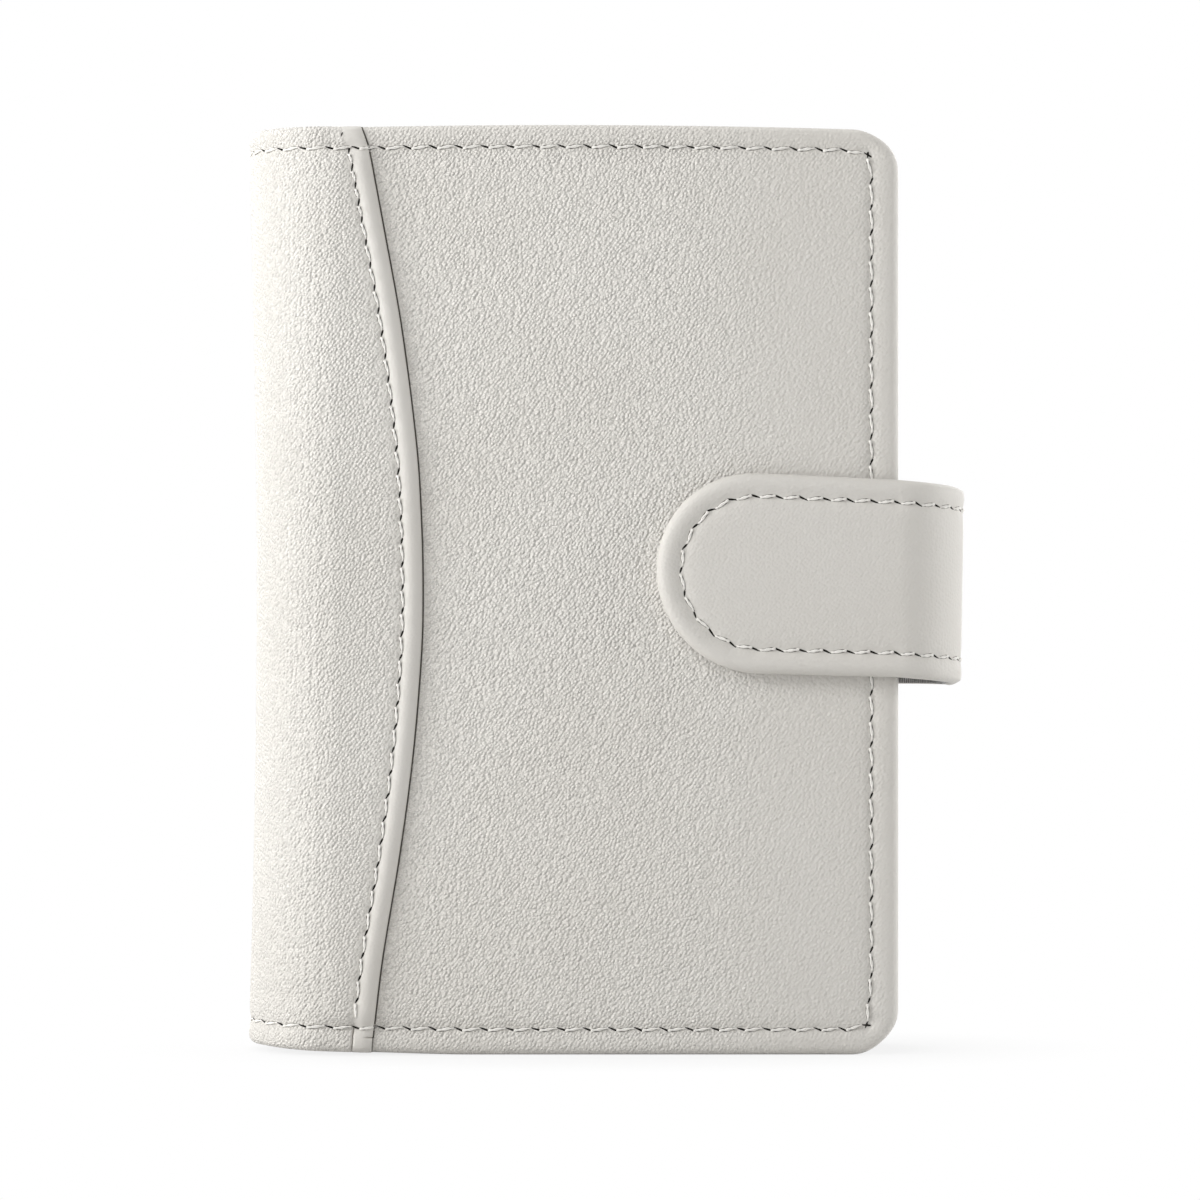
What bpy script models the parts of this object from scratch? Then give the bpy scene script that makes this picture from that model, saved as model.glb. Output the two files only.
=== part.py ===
"""A booklet card wallet in pale leather, closed by a wrap-round strap with a hidden magnet.

It stands on its bottom edges as a shut book would. +X runs from the spine to the fore-edge,
+Y from the front cover to the back cover, +Z up. The origin is under the middle of its box.
"""
import bpy
import bmesh
from math import cos, pi, radians, sin
from mathutils import Matrix, Vector

# The closed wallet, in metres.
COVER_HEIGHT = 0.108        # bottom edge to top edge
COVER_WIDTH = 0.075         # outermost line of the spine to the fore-edge
CORNER_RADIUS = 0.0047      # the two fore-edge corners of a cover
CLEARANCE = 0.0003          # between pieces that lie against each other
JOIN_GAP = 0.0004           # between two strips of leather end to end, on their outer side

# The clear card leaves, each a sleeve of two films welded along three sides.
LEAF_COUNT = 8
FILM = 0.00025
SLEEVE_ROOM = 0.0003        # between the two films of one sleeve
LEAF_SPACING = 0.00035      # between two neighbouring leaves
LEAF_MARGIN = 0.005         # top and bottom edge of a leaf to those of the covers
LEAF_FORE_MARGIN = 0.0045   # fore-edge of a leaf to that of the covers
LEAF_CORNER = 0.003
WELD = 0.0015
TONGUE_LENGTH = 0.005       # single film from the binding to the sleeve

# Thickness of each layer, from the leaves outwards.
SLIP_POCKET = 0.0008
COVER_LINING = 0.0005
COVER_BOARD = 0.0009
COVER_LEATHER = 0.0010
SPINE_PANEL = 0.0009
STRAP_LINING = 0.0004
STRAP_CORE = 0.0006
STRAP_LEATHER = 0.0008

# Covers.
TURNED_EDGE = 0.0012        # leather turned in round the board, seen from inside
BOARD_START = 0.0012        # spine's curve to the board
SLIP_POCKET_START = 0.0030  # spine's curve to the slip pocket
SLIP_POCKET_HEIGHT = 0.070
SLIP_POCKET_FORE_MARGIN = 0.0030
THUMB_NOTCH_RADIUS = 0.009

# The spine panel, sewn over the spine and the inner edges of both covers.
PANEL_END_WIDTH = 0.0031    # beyond the spine's curve, at the top and bottom edge
PANEL_BULGE = 0.0065        # how much wider it is at mid height
STRIP_ANGLE = 45            # degrees of the spine's half turn that one folding strip takes
STRIP_COUNT = 3
BINDING_SETBACK = 0.0056    # face of the leaf binding to the centre line of the spine's curve

# The closing strap.
STRAP_WIDTH = 0.0232
STRAP_REACH = 0.0087        # outside of its bend beyond the covers' fore-edge
STRAP_BEND_RADIUS = 0.0085
STRAP_HEIGHT = 0.0547       # middle of the strap above the base, in the bend
STRAP_RISE = 0.036          # climb per length from the back cover to the tab
TAB_LENGTH = 0.0281         # flat part of the tab on the front cover, to its round tip
ROOT_LENGTH = 0.0300        # flat part sewn on the back cover
ROOT_CORNER = 0.002
CORE_INSET = 0.0015         # edge of the strap to its stiff core
LINING_INSET = 0.0004       # edge of the strap to its lining

# The hidden magnet and the steel plate that it holds to.
MAGNET_RADIUS = 0.005
KEEPER_RADIUS = 0.006
KEEPER_THICKNESS = 0.0006
MAGNET_FROM_TIP = 0.0116

# Sewing thread, half sunk in a groove.
THREAD_RADIUS = 0.00015
GROOVE_LIFT = 0.00005       # centre of the groove's round above the leather
EDGE_SEAM_INSET = 0.0025
PANEL_SEAM_INSET = 0.0023
STRAP_SEAM_INSET = 0.0028

# How finely curves are drawn.
TURN_STEP = 11.25           # degrees
CORNER_STEPS = 5
PANEL_EDGE_STEPS = 20
DISC_SIDES = 24
WELD_DISTANCE = 0.000001
OVERRUN = 0.002             # how far a cutter passes the piece that it cuts

SOFT_LEATHER = ((0.60, 0.575, 0.535), 0.55, 0.0)
RIBBED_LINING = ((0.13, 0.125, 0.12), 0.85, 0.0)
SUEDE_LINING = ((0.40, 0.385, 0.36), 0.9, 0.0)
GREY_BOARD = ((0.28, 0.26, 0.235), 0.9, 0.0)
CLEAR_FILM = ((0.80, 0.82, 0.82), 0.2, 0.0)
STEEL = ((0.55, 0.56, 0.57), 0.35, 1.0)
PALE_THREAD = ((0.74, 0.72, 0.68), 0.7, 0.0)


def outside(layer, thickness):
    """The next layer out, as its two distances from the wallet's middle plane."""
    return (layer[1] + CLEARANCE, layer[1] + CLEARANCE + thickness)


LEAF_THICKNESS = 2 * FILM + SLEEVE_ROOM
LEAF_PITCH = LEAF_THICKNESS + LEAF_SPACING
STACK = (0, LEAF_COUNT * LEAF_PITCH / 2)
POCKET_LAYER = outside(STACK, SLIP_POCKET)
LINING_LAYER = outside(POCKET_LAYER, COVER_LINING)
BOARD_LAYER = outside(LINING_LAYER, COVER_BOARD)
LEATHER_LAYER = outside(BOARD_LAYER, COVER_LEATHER)
PANEL_LAYER = outside(LEATHER_LAYER, SPINE_PANEL)
STRAP_LINING_LAYER = outside(LEATHER_LAYER, STRAP_LINING)
STRAP_CORE_LAYER = outside(STRAP_LINING_LAYER, STRAP_CORE)
STRAP_LEATHER_LAYER = outside(STRAP_CORE_LAYER, STRAP_LEATHER)

# Places along X, counted from the spine's outermost line and then moved by LEFT.
LEFT = -(COVER_WIDTH + STRAP_REACH) / 2
SPINE_RADIUS = PANEL_LAYER[1]
SPINE_CENTRE = LEFT + SPINE_RADIUS
FORE_EDGE = LEFT + COVER_WIDTH
STRAP_OUTSIDE = STRAP_LEATHER_LAYER[1]
BEND_CENTRE = FORE_EDGE + STRAP_REACH - STRAP_BEND_RADIUS
BEND_HALF_STRAIGHT = STRAP_OUTSIDE - STRAP_BEND_RADIUS
STRAP_FLAT_START = BEND_HALF_STRAIGHT + STRAP_BEND_RADIUS * pi / 2
STRAP_HINGE_RUN = BEND_HALF_STRAIGHT + STRAP_BEND_RADIUS * pi / 4
TAB_TIP = STRAP_FLAT_START + TAB_LENGTH
ROOT_END = STRAP_FLAT_START + ROOT_LENGTH
FIRST_STRIP_ANGLE = (180 - STRIP_COUNT * STRIP_ANGLE) / 2
BACK, FRONT = 1, -1


def on_cover(side):
    """Lays a flat piece on one cover and round the spine's curve; u runs along X."""
    def lay(u, v, out):
        if u >= SPINE_CENTRE:
            return Vector((u, side * out, v))
        turn = (SPINE_CENTRE - u) / SPINE_RADIUS
        return Vector((SPINE_CENTRE - out * sin(turn), side * out * cos(turn), v))
    return lay


def on_strap(u, v, out):
    """Lays a flat piece along the strap; u runs from the bend's middle, positive to the tab."""
    side = FRONT if u > 0 else BACK
    run = abs(u)
    inset = STRAP_OUTSIDE - out
    radius = STRAP_BEND_RADIUS - inset
    height = STRAP_HEIGHT + STRAP_RISE * u + v
    if run <= BEND_HALF_STRAIGHT:
        return Vector((BEND_CENTRE + radius, side * run, height))
    if run <= STRAP_FLAT_START:
        turn = (run - BEND_HALF_STRAIGHT) / STRAP_BEND_RADIUS
        across = BEND_HALF_STRAIGHT + radius * sin(turn)
        return Vector((BEND_CENTRE + radius * cos(turn), side * across, height))
    return Vector((BEND_CENTRE - (run - STRAP_FLAT_START), side * out, height))


def spine_place(angle):
    """Where an angle of the spine's half turn, from the back cover, lies along a flat piece."""
    return SPINE_CENTRE - radians(angle) * SPINE_RADIUS


def turn_places(first, last):
    """Where a piece is creased to follow the spine's curve, between two angles."""
    count = round((last - first) / TURN_STEP)
    return [spine_place(first + (last - first) * step / count) for step in range(count + 1)]


def bend_places():
    """Where a strap piece is creased to follow the two corners of the bend."""
    steps = round(90 / TURN_STEP)
    corner = STRAP_BEND_RADIUS * pi / 2
    runs = [BEND_HALF_STRAIGHT + corner * step / steps for step in range(steps + 1)]
    return [-run for run in runs] + runs


def quarter(centre, radius, start):
    """Points of a quarter turn, anticlockwise from an angle in degrees."""
    turns = [radians(start) + (pi / 2) * step / CORNER_STEPS for step in range(CORNER_STEPS + 1)]
    return [(centre[0] + radius * cos(turn), centre[1] + radius * sin(turn)) for turn in turns]


def three_sides(left, right, low, high, radius):
    """A line along the bottom, right and top of a rectangle with two round corners."""
    lower = quarter((right - radius, low + radius), radius, 270)
    upper = quarter((right - radius, high - radius), radius, 0)
    joined = lower[:-1] if high - low <= 2 * radius + WELD_DISTANCE else lower
    return [(left, low)] + joined + upper + [(left, high)]


def rectangle(left, right, low, high, left_radius=0, right_radius=0):
    """A closed outline, anticlockwise, whose left and right pair of corners may be round."""
    if right_radius:
        points = three_sides(left, right, low, high, right_radius)
    else:
        points = [(left, low), (right, low), (right, high), (left, high)]
    if left_radius:
        upper = quarter((left + left_radius, high - left_radius), left_radius, 90)
        lower = quarter((left + left_radius, low + left_radius), left_radius, 180)
        points = points[1:-1] + upper + lower
    return points


def mesh_of(curve):
    """A curve's solid as a closed mesh."""
    holder = bpy.data.objects.new(curve.name, curve)
    bpy.context.scene.collection.objects.link(holder)
    depsgraph = bpy.context.evaluated_depsgraph_get()
    mesh = bpy.data.meshes.new_from_object(holder.evaluated_get(depsgraph))
    bpy.data.objects.remove(holder)
    bpy.data.curves.remove(curve)
    return mesh


def reshaped(mesh, lay=None, creases=()):
    """Welds a mesh, creases it across at each place in creases, and lays every point."""
    shape = bmesh.new()
    shape.from_mesh(mesh)
    bmesh.ops.remove_doubles(shape, verts=shape.verts, dist=WELD_DISTANCE)
    for place in creases:
        everything = shape.verts[:] + shape.edges[:] + shape.faces[:]
        bmesh.ops.bisect_plane(shape, geom=everything, dist=WELD_DISTANCE, plane_co=(place, 0, 0),
                               plane_no=(1, 0, 0))
    if lay:
        for vertex in shape.verts:
            vertex.co = lay(*vertex.co)
    bmesh.ops.recalc_face_normals(shape, faces=shape.faces)
    if shape.calc_volume(signed=True) < 0:
        bmesh.ops.reverse_faces(shape, faces=shape.faces)
    shape.to_mesh(mesh)
    shape.free()
    return mesh


def slab(outline, layer):
    """A flat piece with this outline in X and Y, filling a layer in Z."""
    curve = bpy.data.curves.new("outline", "CURVE")
    curve.dimensions = "2D"
    curve.fill_mode = "BOTH"
    curve.extrude = (layer[1] - layer[0]) / 2
    spline = curve.splines.new("POLY")
    spline.points.add(len(outline) - 1)
    for point, (u, v) in zip(spline.points, outline):
        point.co = (u, v, 0, 1)
    spline.use_cyclic_u = True
    mesh = mesh_of(curve)
    mesh.transform(Matrix.Translation((0, 0, (layer[0] + layer[1]) / 2)))
    return reshaped(mesh)


def tube(points, radius, closed=False):
    """A round tube along a line of points."""
    curve = bpy.data.curves.new("tube", "CURVE")
    curve.dimensions = "3D"
    curve.bevel_depth = radius
    curve.bevel_resolution = 2
    curve.use_fill_caps = True
    spline = curve.splines.new("POLY")
    spline.points.add(len(points) - 1)
    for point, place in zip(spline.points, points):
        point.co = (*place, 1)
    spline.use_cyclic_u = closed
    return reshaped(mesh_of(curve))


def disc(radius, layer, centre):
    """A round plate in a flat piece's own frame."""
    shape = bmesh.new()
    bmesh.ops.create_cone(shape, cap_ends=True, segments=DISC_SIDES, radius1=radius, radius2=radius,
                          depth=layer[1] - layer[0])
    mesh = bpy.data.meshes.new("disc")
    shape.to_mesh(mesh)
    shape.free()
    mesh.transform(Matrix.Translation((*centre, (layer[0] + layer[1]) / 2)))
    return mesh


def carved(mesh, *cutters):
    """A mesh with each cutter taken out of it."""
    for cutter in cutters:
        piece = bpy.data.objects.new("piece", mesh)
        tool = bpy.data.objects.new("tool", cutter)
        for item in (piece, tool):
            bpy.context.scene.collection.objects.link(item)
        cut = piece.modifiers.new("cut", "BOOLEAN")
        cut.operation = "DIFFERENCE"
        cut.object = tool
        depsgraph = bpy.context.evaluated_depsgraph_get()
        mesh = bpy.data.meshes.new_from_object(piece.evaluated_get(depsgraph))
        bpy.data.objects.remove(piece)
        bpy.data.objects.remove(tool)
    return mesh


def grown(layer, amount):
    """A layer made thicker on both sides, for a cutter."""
    return (layer[0] - amount, layer[1] + amount)


def material(name, finish):
    colour, roughness, metallic = finish
    made = bpy.data.materials.new(name)
    made.use_nodes = True
    shader = made.node_tree.nodes["Principled BSDF"]
    shader.inputs["Base Color"].default_value = (*colour, 1)
    shader.inputs["Roughness"].default_value = roughness
    shader.inputs["Metallic"].default_value = metallic
    return made


def carrier(name, place, parent=None):
    """An empty on a moving body's joint axis, which carries the body's pieces."""
    empty = bpy.data.objects.new(name, None)
    wallet.objects.link(empty)
    empty.parent = parent
    empty.location = Vector(place) - (Vector(parent["place"]) if parent else Vector())
    empty["place"] = tuple(place)
    return empty


def piece(name, mesh, finish, on):
    """A named piece whose mesh is given in the wallet's frame, carried by an empty."""
    mesh.name = name
    mesh.transform(Matrix.Translation(-Vector(on["place"])))
    mesh.materials.clear()
    mesh.materials.append(material(name, finish))
    made = bpy.data.objects.new(name, mesh)
    made.parent = on
    wallet.objects.link(made)
    return made


def sewn(name, mesh, line, lay, surface, on, leather_name, closed=False):
    """A leather piece with a groove along a seam, and the thread that lies in the groove."""
    thread = tube([lay(u, v, surface) for u, v in line], THREAD_RADIUS, closed)
    groove_line = line if closed else stretched(line)
    groove = tube([lay(u, v, surface + GROOVE_LIFT) for u, v in groove_line], THREAD_RADIUS + CLEARANCE, closed)
    piece(leather_name, carved(mesh, groove), SOFT_LEATHER, on)
    piece(name, thread, PALE_THREAD, on)


def stretched(line):
    """A seam line with both ends moved outwards, so that its groove clears the thread's ends."""
    start, second, before, end = (Vector(line[index]) for index in (0, 1, -2, -1))
    start = start + (start - second).normalized() * CLEARANCE
    end = end + (end - before).normalized() * CLEARANCE
    return [tuple(start)] + line[1:-1] + [tuple(end)]


def panel_edge(height):
    """Free edge of the spine panel, a shallow bow that is widest at mid height."""
    return SPINE_CENTRE + PANEL_END_WIDTH + PANEL_BULGE * sin(pi * height / COVER_HEIGHT)


def build_cover(word, side, on, keeper=False):
    """One cover: leather turned round a board, its lining, a slip pocket and the spine panel's edge."""
    lay = on_cover(side)
    start = spine_place(FIRST_STRIP_ANGLE) + JOIN_GAP / 2
    creases = turn_places(0, FIRST_STRIP_ANGLE)
    inner_right = FORE_EDGE - TURNED_EDGE
    inner_top = COVER_HEIGHT - TURNED_EDGE
    inner_radius = CORNER_RADIUS - TURNED_EDGE

    shell = slab(rectangle(start, FORE_EDGE, 0, COVER_HEIGHT, right_radius=CORNER_RADIUS),
                 (LINING_LAYER[0], LEATHER_LAYER[1]))
    recess = slab(rectangle(start - OVERRUN, inner_right, TURNED_EDGE, inner_top, right_radius=inner_radius),
                  (LINING_LAYER[0] - OVERRUN, LEATHER_LAYER[0]))
    shell = reshaped(carved(shell, recess), lay, creases)
    seam_top = COVER_HEIGHT - EDGE_SEAM_INSET
    seam = three_sides(panel_edge(EDGE_SEAM_INSET) + EDGE_SEAM_INSET, FORE_EDGE - EDGE_SEAM_INSET,
                       EDGE_SEAM_INSET, seam_top, CORNER_RADIUS - EDGE_SEAM_INSET)
    sewn(word + "_edge_thread", shell, seam, lay, LEATHER_LAYER[1], on, word + "_cover_leather")

    board_start = SPINE_CENTRE + BOARD_START
    fitted = rectangle(board_start, inner_right - CLEARANCE, TURNED_EDGE + CLEARANCE, inner_top - CLEARANCE,
                       right_radius=inner_radius - CLEARANCE)
    board = slab(fitted, BOARD_LAYER)
    if keeper:
        centre = on_strap(TAB_TIP - MAGNET_FROM_TIP, 0, STRAP_OUTSIDE)
        spot = (centre.x, centre.z)
        hole = disc(KEEPER_RADIUS + CLEARANCE, grown(BOARD_LAYER, OVERRUN), spot)
        board = carved(board, hole)
        middle = sum(BOARD_LAYER) / 2
        plate_layer = (middle - KEEPER_THICKNESS / 2, middle + KEEPER_THICKNESS / 2)
        piece("keeper_plate", reshaped(disc(KEEPER_RADIUS, plate_layer, spot), lay), STEEL, on)
    piece(word + "_cover_board", reshaped(board, lay), GREY_BOARD, on)
    piece(word + "_cover_lining", reshaped(slab(fitted, LINING_LAYER), lay), SUEDE_LINING, on)

    pocket_left = SPINE_CENTRE + SLIP_POCKET_START
    pocket_right = FORE_EDGE - SLIP_POCKET_FORE_MARGIN
    pocket_low = TURNED_EDGE + CLEARANCE
    pocket = slab(rectangle(pocket_left, pocket_right, pocket_low, pocket_low + SLIP_POCKET_HEIGHT,
                            right_radius=inner_radius), POCKET_LAYER)
    notch_centre = ((pocket_left + pocket_right) / 2, pocket_low + SLIP_POCKET_HEIGHT)
    notch = disc(THUMB_NOTCH_RADIUS, grown(POCKET_LAYER, OVERRUN), notch_centre)
    piece(word + "_slip_pocket", reshaped(carved(pocket, notch), lay), SOFT_LEATHER, on)

    heights = [COVER_HEIGHT * step / PANEL_EDGE_STEPS for step in range(PANEL_EDGE_STEPS + 1)]
    edge = [(panel_edge(height), height) for height in heights]
    panel = reshaped(slab([(start, 0)] + edge + [(start, COVER_HEIGHT)], PANEL_LAYER), lay, creases)
    seam = [(panel_edge(height) - PANEL_SEAM_INSET, height) for height in heights[1:-1]]
    sewn(word + "_panel_thread", panel, seam, lay, PANEL_LAYER[1], on, word + "_spine_panel")


def build_spine_strip(word, number, on):
    """One folding strip of the spine: its leather outside and its lining inside."""
    first = FIRST_STRIP_ANGLE + number * STRIP_ANGLE
    last = first + STRIP_ANGLE
    right = spine_place(first) - JOIN_GAP / 2
    left = spine_place(last) + JOIN_GAP / 2
    outline = rectangle(left, right, 0, COVER_HEIGHT)
    creases = turn_places(first, last)
    layers = (("leather", PANEL_LAYER, SOFT_LEATHER), ("lining", LEATHER_LAYER, SUEDE_LINING))
    for kind, layer, finish in layers:
        strip = reshaped(slab(outline, layer), on_cover(BACK), creases)
        piece("spine_" + word + "_" + kind, strip, finish, on)


def build_binding(on):
    """The strip behind the spine's middle that the leaves are sewn to, round at its back."""
    radius = LEATHER_LAYER[0] - CLEARANCE
    half = STACK[1] - CLEARANCE
    widths = [half * (2 * step / CORNER_STEPS - 1) for step in range(CORNER_STEPS + 1)]
    back = [(SPINE_CENTRE - (radius ** 2 - width ** 2) ** 0.5, width) for width in reversed(widths)]
    face = SPINE_CENTRE - BINDING_SETBACK
    outline = [(face, -half), (face, half)] + back
    strip = slab(outline, (LEAF_MARGIN, COVER_HEIGHT - LEAF_MARGIN))
    piece("leaf_binding", strip, SUEDE_LINING, on)


def leaf_mesh(place):
    """One clear sleeve, open at the top, with the single-film tongue that joins it to the binding."""
    left = place[0] - FILM / 2
    right = FORE_EDGE - LEAF_FORE_MARGIN
    low, high = LEAF_MARGIN, COVER_HEIGHT - LEAF_MARGIN
    middle = place[1]
    body = slab(rectangle(left, right, low, high, right_radius=LEAF_CORNER),
                (middle - LEAF_THICKNESS / 2, middle + LEAF_THICKNESS / 2))
    sleeve = left + TONGUE_LENGTH
    room = slab(rectangle(sleeve + WELD, right - WELD, low + WELD, high + OVERRUN),
                (middle - SLEEVE_ROOM / 2, middle + SLEEVE_ROOM / 2))
    beside = rectangle(left - OVERRUN, sleeve, low - OVERRUN, high + OVERRUN)
    above = slab(beside, (middle + FILM / 2, middle + LEAF_THICKNESS))
    below = slab(beside, (middle - LEAF_THICKNESS, middle - FILM / 2))
    return reshaped(carved(body, room, above, below), lambda u, v, out: Vector((u, out, v)))


def build_strap_part(word, start, end, carriers, shape):
    """Leather, core and lining of one stretch of the strap; shape gives each its outline."""
    layers = (("core", STRAP_CORE_LAYER, GREY_BOARD, CORE_INSET),
              ("lining", STRAP_LINING_LAYER, RIBBED_LINING, LINING_INSET))
    for kind, layer, finish, inset in layers:
        strip = slab(shape(start, end, inset), layer)
        if word == "tab" and kind == "core":
            spot = (TAB_TIP - MAGNET_FROM_TIP, 0)
            strip = carved(strip, disc(MAGNET_RADIUS + CLEARANCE, grown(layer, OVERRUN), spot))
            piece("tab_magnet", reshaped(disc(MAGNET_RADIUS, layer, spot), on_strap), STEEL, carriers)
        piece("strap_" + word + "_" + kind, reshaped(strip, on_strap, bend_places()), finish, carriers)
    return reshaped(slab(shape(start, end, 0), STRAP_LEATHER_LAYER), on_strap, bend_places())


def root_outline(start, end, inset):
    half = STRAP_WIDTH / 2 - inset
    return rectangle(start + inset, end, -half, half, left_radius=ROOT_CORNER)


def bend_outline(start, end, inset):
    half = STRAP_WIDTH / 2 - inset
    return rectangle(start, end, -half, half)


def tab_outline(start, end, inset):
    half = STRAP_WIDTH / 2 - inset
    return rectangle(start, end - inset, -half, half, right_radius=half)


def build_strap(root, bend, tab):
    """The strap in three stretches: sewn to the back cover, round the fore-edge, and the tab."""
    seam_half = STRAP_WIDTH / 2 - STRAP_SEAM_INSET

    leather = build_strap_part("root", -ROOT_END, -STRAP_HINGE_RUN - JOIN_GAP / 2, root, root_outline)
    box_seam = rectangle(-ROOT_END + STRAP_SEAM_INSET, -STRAP_FLAT_START - STRAP_SEAM_INSET, -seam_half, seam_half)
    sewn("strap_root_thread", leather, box_seam, on_strap, STRAP_OUTSIDE, root, "strap_root_leather", closed=True)

    bend_end = STRAP_HINGE_RUN - JOIN_GAP / 2
    leather = build_strap_part("bend", -bend_end, bend_end, bend, bend_outline)
    piece("strap_bend_leather", leather, SOFT_LEATHER, bend)

    leather = build_strap_part("tab", STRAP_HINGE_RUN + JOIN_GAP / 2, TAB_TIP, tab, tab_outline)
    seam = three_sides(STRAP_FLAT_START + STRAP_SEAM_INSET, TAB_TIP - STRAP_SEAM_INSET,
                       -seam_half, seam_half, seam_half)
    sewn("strap_tab_thread", leather, seam, on_strap, STRAP_OUTSIDE, tab, "strap_tab_leather")


def build_wallet():
    hinges = [on_cover(BACK)(spine_place(FIRST_STRIP_ANGLE + number * STRIP_ANGLE), 0, SPINE_RADIUS)
              for number in range(STRIP_COUNT + 1)]
    back = carrier("back_cover_frame", (0, 0, 0))
    spine_back = carrier("spine_back_axis", hinges[0], back)
    spine_middle = carrier("spine_middle_axis", hinges[1], spine_back)
    spine_front = carrier("spine_front_axis", hinges[2], spine_middle)
    front = carrier("front_cover_axis", hinges[3], spine_front)
    bend = carrier("strap_swing_axis", on_strap(-STRAP_HINGE_RUN, 0, STRAP_OUTSIDE), back)
    tab = carrier("tab_lift_axis", on_strap(STRAP_HINGE_RUN, 0, STRAP_OUTSIDE), bend)

    build_cover("back", BACK, back)
    build_cover("front", FRONT, front, keeper=True)
    strips = (("back", spine_back), ("middle", spine_middle), ("front", spine_front))
    for number, (word, strip) in enumerate(strips):
        build_spine_strip(word, number, strip)
    build_binding(spine_middle)
    for number in range(LEAF_COUNT):
        across = STACK[1] - (number + 0.5) * LEAF_PITCH
        axis = (SPINE_CENTRE - BINDING_SETBACK + CLEARANCE + FILM / 2, across, COVER_HEIGHT / 2)
        name = "leaf_" + str(number + 1)
        piece(name, leaf_mesh(axis), CLEAR_FILM, carrier(name + "_axis", axis, spine_middle))
    build_strap(back, bend, tab)


for item in list(bpy.data.objects):
    bpy.data.objects.remove(item)
wallet = bpy.data.collections.new("card_wallet")
bpy.context.scene.collection.children.link(wallet)
build_wallet()
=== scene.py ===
from bisect import bisect_right
from math import cos, exp, pi, radians, sin

import bmesh
import bpy
from mathutils import Matrix, Vector
from mathutils.kdtree import KDTree


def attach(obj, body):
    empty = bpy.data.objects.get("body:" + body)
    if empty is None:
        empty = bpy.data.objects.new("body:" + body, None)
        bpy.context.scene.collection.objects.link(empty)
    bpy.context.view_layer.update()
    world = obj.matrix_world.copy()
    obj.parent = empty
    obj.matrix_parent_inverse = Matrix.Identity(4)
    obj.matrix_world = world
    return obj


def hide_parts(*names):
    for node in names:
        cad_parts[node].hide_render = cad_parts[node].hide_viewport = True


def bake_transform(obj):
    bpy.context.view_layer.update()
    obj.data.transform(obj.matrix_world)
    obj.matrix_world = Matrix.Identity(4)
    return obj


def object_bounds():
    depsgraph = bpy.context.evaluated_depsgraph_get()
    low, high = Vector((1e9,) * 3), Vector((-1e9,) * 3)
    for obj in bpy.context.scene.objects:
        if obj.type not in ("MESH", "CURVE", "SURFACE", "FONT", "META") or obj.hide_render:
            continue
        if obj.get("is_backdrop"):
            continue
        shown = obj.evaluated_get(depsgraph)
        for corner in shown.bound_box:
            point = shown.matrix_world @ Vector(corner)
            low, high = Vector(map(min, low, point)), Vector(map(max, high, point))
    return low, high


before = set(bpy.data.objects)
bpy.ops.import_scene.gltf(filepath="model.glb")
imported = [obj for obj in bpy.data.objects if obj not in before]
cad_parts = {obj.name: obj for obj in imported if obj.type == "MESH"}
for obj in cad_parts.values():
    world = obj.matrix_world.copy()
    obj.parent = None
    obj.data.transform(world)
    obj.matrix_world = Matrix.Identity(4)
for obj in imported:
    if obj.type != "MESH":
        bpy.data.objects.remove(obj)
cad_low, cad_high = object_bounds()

# The wallet stands shut on a white table in a light tent, seen level from a little over half a
# metre. Soft panels light it from both sides and from above, and two more from behind.
CAMERA_PLACE = (-0.0015, -0.589, 0.0528)
CAMERA_LENS = 150.1
LIT_CENTRE = Vector((0, 0, 0.054))
# Each panel's name, place, size in metres and power in watts.
LIGHTS = (("low_left_panel", (-0.45, -0.05, 0.10), 0.30, 0.42),
          ("left_panel", (-0.36, -0.16, 0.16), 0.22, 1.02),
          ("high_left_panel", (-0.16, -0.30, 0.40), 0.22, 0.73),
          ("roof_panel", (-0.05, 0.12, 0.60), 0.30, 0.92),
          ("right_panel", (0.60, 0.02, 0.12), 0.35, 2.48),
          ("rear_left_panel", (-0.35, 0.60, 0.35), 0.40, 1.6),
          ("rear_right_panel", (0.40, 0.65, 0.30), 0.40, 1.2))
WHITE = (1, 1, 1, 1)
TENT_LEVEL = 0.25
FLOOR_HALF = 1.5
FLOOR_PAPER = (0.7, 0.7, 0.7, 1)
FLOOR_ROUGHNESS = 0.9
# How much of the paper's own shade shows beside the wallet, how far off it fades, and its outline.
FLOOR_SHADOW = 0.20
SHADOW_REACH = (0.012, 0.032)
SHADOW_OUTLINE = (0.5, 1, 1)


def feed(node, sockets):
    """Links a node's sockets to shades, and sets those that get a plain value."""
    for name, value in sockets.items():
        if isinstance(value, Shade):
            node.id_data.links.new(value.socket, node.inputs[name])
        else:
            node.inputs[name].default_value = value


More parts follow.
